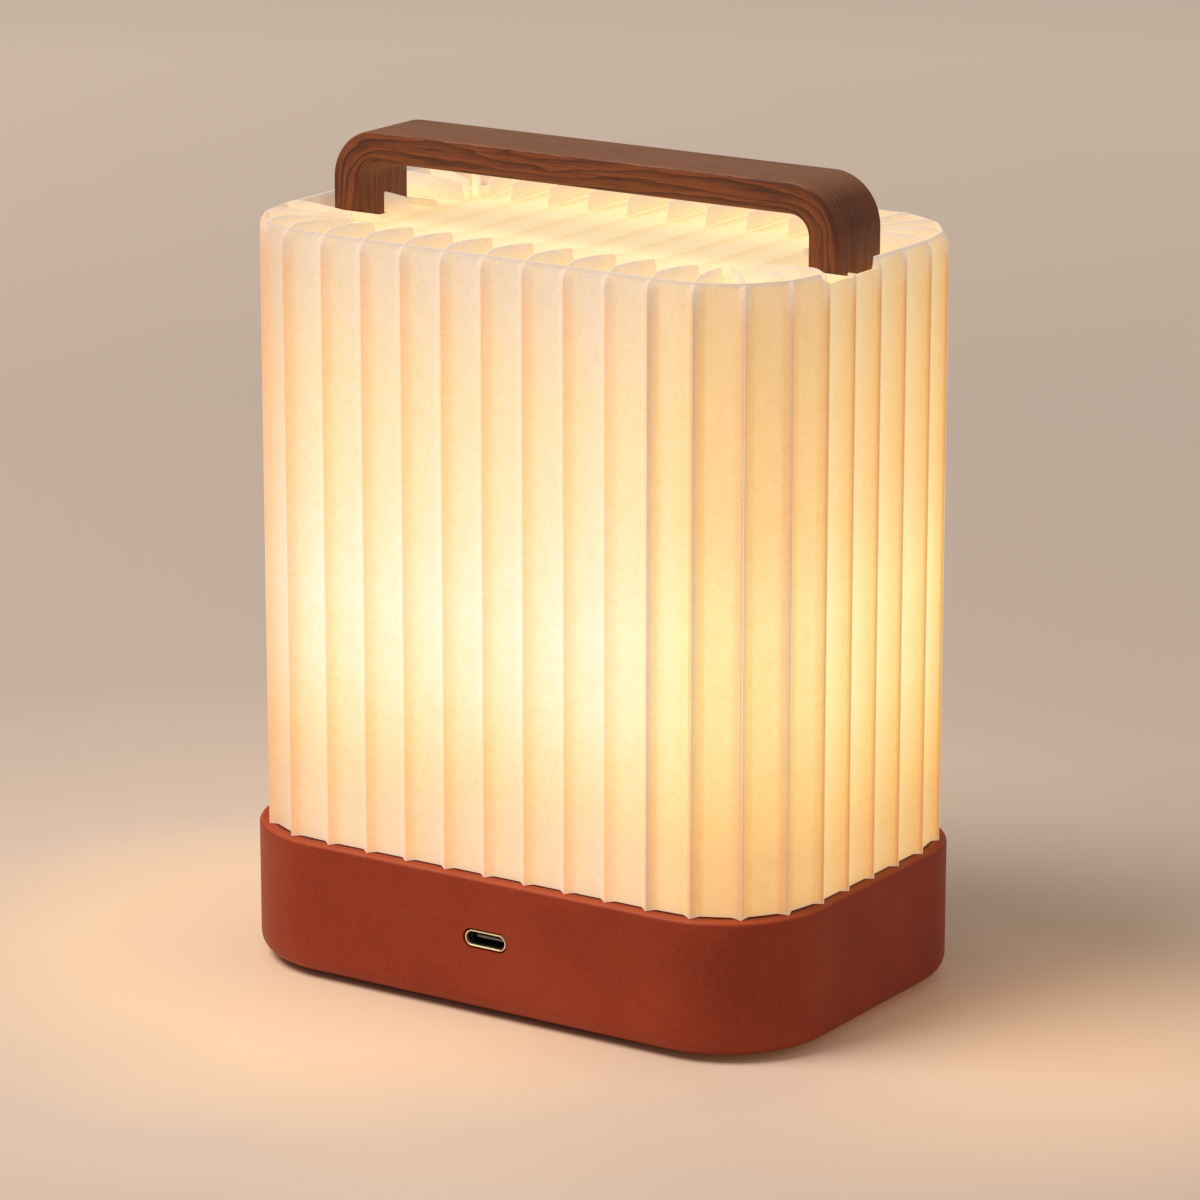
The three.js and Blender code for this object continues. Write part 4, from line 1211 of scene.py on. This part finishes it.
def handlePath(size):
    # Places along the middle of the bar's outer face, from the left foot over the top to the right foot.
    radius, steps, legSteps = size["cornerRadius"], size["bendSteps"], size["legSteps"]
    left, top, foot = -size["legOuter"], size["top"], size["foot"]
    rise = top - radius - foot
    places = [(left, foot + rise * i / legSteps, math.pi) for i in range(legSteps)]
    bend = arcPoints(left + radius, top - radius, radius, math.pi, math.pi / 2, steps)
    places += [(x, z, math.pi - math.pi / 2 * i / steps) for i, (x, z) in enumerate(bend)]
    run, barSteps = 2 * (size["legOuter"] - radius), size["barSteps"]
    bar = [(left + radius + run * i / barSteps, top, math.pi / 2) for i in range(1, barSteps)]
    return places + bar + [(-x, z, math.pi - angle) for x, z, angle in reversed(places)]


def handleSection(size):
    # Round the bar: (across the width, inwards from the outer face).
    half, deep, edge = size["width"] / 2, size["thickness"], size["edge"]
    points = []
    for quarter, (cx, cy) in enumerate(((half - edge, edge), (half - edge, deep - edge),
                                        (edge - half, deep - edge), (edge - half, edge))):
        start = math.pi / 2 * (quarter - 1)
        points += arcPoints(cx, cy, edge, start, start + math.pi / 2, size["edgeSteps"])
    return points


def makeHandle(size):
    path, section = handlePath(size), handleSection(size)
    verts, grain = [], []
    travelled = 0.0
    for i, (x, z, angle) in enumerate(path):
        if i:
            travelled += math.hypot(x - path[i - 1][0], z - path[i - 1][1])
        for across, inwards in section:
            verts.append((x - math.cos(angle) * inwards, across, z - math.sin(angle) * inwards))
            grain += [travelled * mm, across * mm, inwards * mm]
    columns, rows = len(section), len(path)
    faces = ringFaces(rows, columns, closed=False)
    faces += [tuple(range(columns)), tuple(range((rows - 1) * columns, rows * columns))]
    mesh = newMesh("walnutHandle", verts, faces)
    mesh.attributes.new("grain", "FLOAT_VECTOR", "POINT").data.foreach_set("vector", grain)
    mesh.materials.append(walnutMaterial(walnutLook))
    tidyMesh(mesh, 50)
    return installed(newPiece("walnutHandle", mesh), "walnut", "handle")


makeHandle(handle)
print("handle made")


# Glowing top plate, with a faint line, painted shade of a shallow fold, that carries each front blade on to
# its partner at the back

plateLook = {
    "glow": (1.06, 0.77, 0.41),
    "middle": (1.08, 0.85, 0.50),
    "middleInset": (12, 40),
    "line": 0.4,
    "lineShadeTint": (0.9, 0.74, 0.5),
    "lineDepth": 0.3,
    "body": "#a5916f",
    "strength": 0.8,
    "roughness": 0.7,
}


def plateMaterial(look):
    material, shader, place = newMaterial("glowingPlate", Roughness=look["roughness"])
    parts = axes(place)
    # painted shade of each shallow fold: a darker line that fades out over half a pitch
    share = maths("FRACT", plus(maths("DIVIDE", parts["X"], pitchOf(pleats) * mm), 20.0))
    fall = between(share, 0.0, 0.5, look["line"], 0.0)
    rise = between(share, 0.96, 1.0, 0.0, look["line"])
    line = maths("MAXIMUM", fall, rise)
    inside = between(insetOf(place), *span(look["middleInset"]))
    glow = mixed(inside, look["glow"], look["middle"])
    glow = mixed(line, glow, tinted(glow, look["lineShadeTint"]))
    glow, relief = mottled(place, glow, 0.6)
    lightUp(shader, place, look, glow, bump(times(line, -1.0), look["lineDepth"], 0.6, relief))
    return material


def dress(node, material):
    for slot in nodes[node].material_slots:
        slot.material = material


dress("top_plate", plateMaterial(plateLook))
print("top plate dressed")


# Finishes of the other pieces that come from the frame, by the record's slots

plastics = {
    # slot: two colours, size of the moulded grain and its depth, roughness, and the shader's other inputs
    "moulding": ("#1b1a19", "#242220", 0.45, 0.03, 0.55, {}),
    "black": ("#121212", "#1a1918", 0.25, 0.012, 0.42, {}),
    "white": ("#efede7", "#e4e1d9", 0.4, 0.015, 0.5, {}),
    "red": ("#a3150f", "#8d1410", 0.3, 0.01, 0.32, {}),
    "rubber": ("#171717", "#212120", 0.3, 0.04, 0.78, {"Specular_IOR_Level": 0.25}),
    "opal": ("#fdf6ea", "#f6eddd", 0.7, 0.01, 0.48, {"Subsurface_Weight": 0.3, "Subsurface_Scale": 0.002}),
    "clear": ("#f3f7f7", "#eaf1f1", 0.9, 0.006, 0.08, {"Transmission_Weight": 0.9, "IOR": 1.49}),
    "phosphor": ("#f2cf52", "#e7bf3c", 0.12, 0.01, 0.3, {}),
}
metals = {
    # slot: two colours, streaks by axis and their depth, roughness
    "steel": ("#cfccc6", "#b3afa8", (900, 900, 5200), 0.01, 0.32),
    "nickel": ("#d6d4ce", "#bfbcb4", (500, 4200, 4200), 0.006, 0.22),
    "aluminium": ("#d8dade", "#c3c6ca", (4800, 4800, 260), 0.012, 0.36),
    "insert_brass": ("#d9bc74", "#bf9c50", (700, 700, 6000), 0.012, 0.3),
}
board = {"mask": "#1d5a38", "track": "#2f7a4f", "cloud": "#123f27", "pitch": 2.54, "roughness": 0.34}
cell = {"sleeve": "#2f6591", "fold": "#27557c", "wrinkle": 0.03, "roughness": 0.3}
socketInside = {
    # painted shade: the socket's shell is coloured near black, for the shade inside the socket
    "shell": ("#0b0a0a", "#131110", 0.2, 0.006, 0.4, {}),
    "tongue": {"tip": "#8f888c", "flat": "#0e0d0d", "front": -43.8, "edge": 0.14, "roughness": 0.4},
}


def plasticMaterial(name, first, second, size, depth, roughness, more):
    material, shader, place = newMaterial(name, **more)
    grain = noise(place, 1 / (size * mm), 3, 0.55)
    cloud = noise(place, 120, 3, 0.5)
    plug(shader, Base_Color=mixed(between(cloud, 0.35, 0.68), first, second),
         Roughness=roughened(grain, roughness, 0.03, 0.07), Normal=bump(grain, depth, 0.7))
    return material


def metalMaterial(name, first, second, factors, depth, roughness):
    material, shader, place = newMaterial(name, Metallic=1.0)
    streaks = noise(scaled(place, factors), 1.0, 3, 0.6)
    cloud = noise(place, 260, 3, 0.55)
    tone = mixed(between(streaks, 0.3, 0.7), first, second)
    plug(shader, Base_Color=mixed(between(cloud, 0.4, 0.75, 0.0, 0.4), tone, second),
         Roughness=roughened(streaks, roughness, 0.05, 0.1), Normal=bump(streaks, depth, 0.6))
    return material


def boardMaterial(look):
    # Green solder mask over copper tracks.
    material, shader, place = newMaterial("circuitBoard")
    track = between(cellEdges(place, look["pitch"], 0.6), 0.05, 0.09, 1.0, 0.0)
    cloud = noise(place, 700, 3, 0.5)
    tone = mixed(track, look["mask"], look["track"])
    tone = mixed(between(cloud, 0.4, 0.7, 0.0, 0.2), tone, look["cloud"])
    plug(shader, Base_Color=tone, Roughness=roughened(cloud, look["roughness"], 0, 0.1),
         Normal=bump(track, 0.035, 0.8))
    return material


def cellMaterial(look):
    # Shrunk sleeve with slight wrinkles round the can.
    material, shader, place = newMaterial("shrinkSleeve")
    folds = noise(scaled(place, (420, 90, 90)), 1.0, 3, 0.5, 0.8)
    tone = mixed(between(folds, 0.35, 0.7), look["sleeve"], look["fold"])
    plug(shader, Base_Color=tone, Roughness=roughened(folds, look["roughness"], 0, 0.12),
         Normal=bump(folds, look["wrinkle"], 0.7))
    return material


def tongueMaterial(look):
    # Dark tongue with a paler front edge.
    material, shader, place = newMaterial("socketTongue")
    parts = axes(place)
    grain = noise(place, 4000, 2, 0.5)
    behind = between(maths("MULTIPLY_ADD", grain, 0.04 * mm, parts["Y"]),
                     (look["front"] + 0.03) * mm, (look["front"] + 0.12) * mm)
    aside = maths("ABSOLUTE", minus(parts["Z"], socketPlace["height"] * mm))
    tip = maths("MAXIMUM", behind, between(aside, look["edge"] * mm, (look["edge"] + 0.08) * mm))
    tone = mixed(tip, look["tip"], look["flat"])
    plug(shader, Base_Color=tone, Roughness=roughened(grain, look["roughness"], 0, 0.1),
         Normal=bump(grain, 0.006, 0.6))
    return material


finishes = {slot: plasticMaterial(slot + "Finish", *look) for slot, look in plastics.items()}
finishes.update({slot: metalMaterial(slot + "Finish", *look) for slot, look in metals.items()})
finishes.update({"circuit": boardMaterial(board), "cell_can": cellMaterial(cell)})
# the socket's shell in painted shade
own = {"socket_shell": plasticMaterial("shadedSocketShell", *socketInside["shell"]),
       "socket_tongue": tongueMaterial(socketInside["tongue"])}


def makeUnderside():
    foot = turnedUnit("rubberFoot", rubberFoot)
    feet = atCorners("rubberFeet", foot, rubberFoot["spacing"], finishes["rubber"])
    installed(feet, "rubber", *[node for node in nodes if node.startswith("foot_")])
    punch = crossPunch(coverScrew["recess"], coverScrew["profile"][0][1])
    screw = cutBy(turnedUnit("coverScrew", coverScrew), [punch], "coverScrew")
    screws = atCorners("coverScrews", screw, coverScrew["spacing"], finishes["steel"])
    installed(screws, "steel", *[node for node in nodes if node.startswith("cover_screw_")])


makeUnderside()
for part in frame["record"]["subparts"]:
    node, slot = part["node"], part["material_slot"]
    if slot in finishes and not nodes[node].hide_render and node != "top_plate":
        dress(node, own.get(node, finishes[slot]))
print("feet and screws made, and the frame's pieces dressed")


# Floor and light

studio = {
    # places and distances in metres: the floor's colour by distance from its own middle, a painted pool of
    # the lamp's light near it, painted shade round that, and paler far off
    "floor": [(0.07, "#fbe2c8"), (0.12, "#dfcfc3"), (0.23, "#ccbfb6"), (0.55, "#d1c4bb"), (1.2, "#f4e6db")],
    "glowPoolMiddle": (-0.04, -0.02, 0.0),
    # the lamp's own light on the floor beside its right end
    "spill": "#a87648",
    "spillMiddle": (0.125, 0.01, 0.0),
    "spillReach": (0.0, 0.12),
    "spillStrength": 0.62,
    "floorReach": 1.4,
    "floorSize": 8,
    "floorCloud": 0.06,  # how far the colours' edges wander
    "cloudScale": 6,
    "roughness": 0.5,
    "specular": 0.25,
    "world": "#e6dcd2",
    "worldStrength": 0.36,
    # place, size and power of each lamp
    "lights": {"keyLight": ((-0.8, -1.02, 2.2), 1.4, 52), "sideLight": ((1.5, 1.0, 1.1), 1.0, 2.5)},
    "lightTone": "#fff1e2",
    "lightsAim": (0, 0, 0.08),
}


def makeFloor(look):
    size = look["floorSize"]
    mesh = bpy.data.meshes.new("floor")
    corners = [(-size, -size, 0), (size, -size, 0), (size, size, 0), (-size, size, 0)]
    mesh.from_pydata(corners, [], [(0, 1, 2, 3)])
    material, shader, place = newMaterial("floorWithPaintedGlow", Roughness=look["roughness"],
                                          Specular_IOR_Level=look["specular"])
    cloud = minus(noise(place, look["cloudScale"], 3, 0.5), 0.5)
    # painted pool of the lamp's light and painted shade round it, by distance from the pool's middle
    reach = vectors("LENGTH", vectors("SUBTRACT", place, look["glowPoolMiddle"]))
    away = maths("MULTIPLY_ADD", cloud, look["floorCloud"], reach)
    tone = ramp(maths("DIVIDE", away, look["floorReach"]),
                [(stop / look["floorReach"], code) for stop, code in look["floor"]])
    beside = vectors("LENGTH", vectors("SUBTRACT", place, look["spillMiddle"]))
    share = between(beside, *look["spillReach"], look["spillStrength"], 0.0)
    shader.inputs["Emission Color"].default_value = colour(look["spill"])
    plug(shader, Base_Color=tone, Emission_Strength=share)
    mesh.materials.append(material)
    newPiece("floor", mesh)


def areaLight(look, name, place, size, power):
    data = bpy.data.lights.new(name, "AREA")
    data.shape, data.size, data.energy = "DISK", size, power
    data.color = colour(look["lightTone"])[:3]
    light = newPiece(name, data)
    light.location = place
    light.rotation_mode = "QUATERNION"
    light.rotation_quaternion = (Vector(look["lightsAim"]) - Vector(place)).to_track_quat("-Z", "Y")


def makeStudio(look):
    world = bpy.data.worlds.new("studio")
    scene.world = world
    world.use_nodes = True
    background = world.node_tree.nodes["Background"]
    background.inputs["Color"].default_value = colour(look["world"])
    background.inputs["Strength"].default_value = look["worldStrength"]
    for name, lamp in look["lights"].items():
        areaLight(look, name, *lamp)


makeFloor(studio)
makeStudio(studio)
print("studio set")
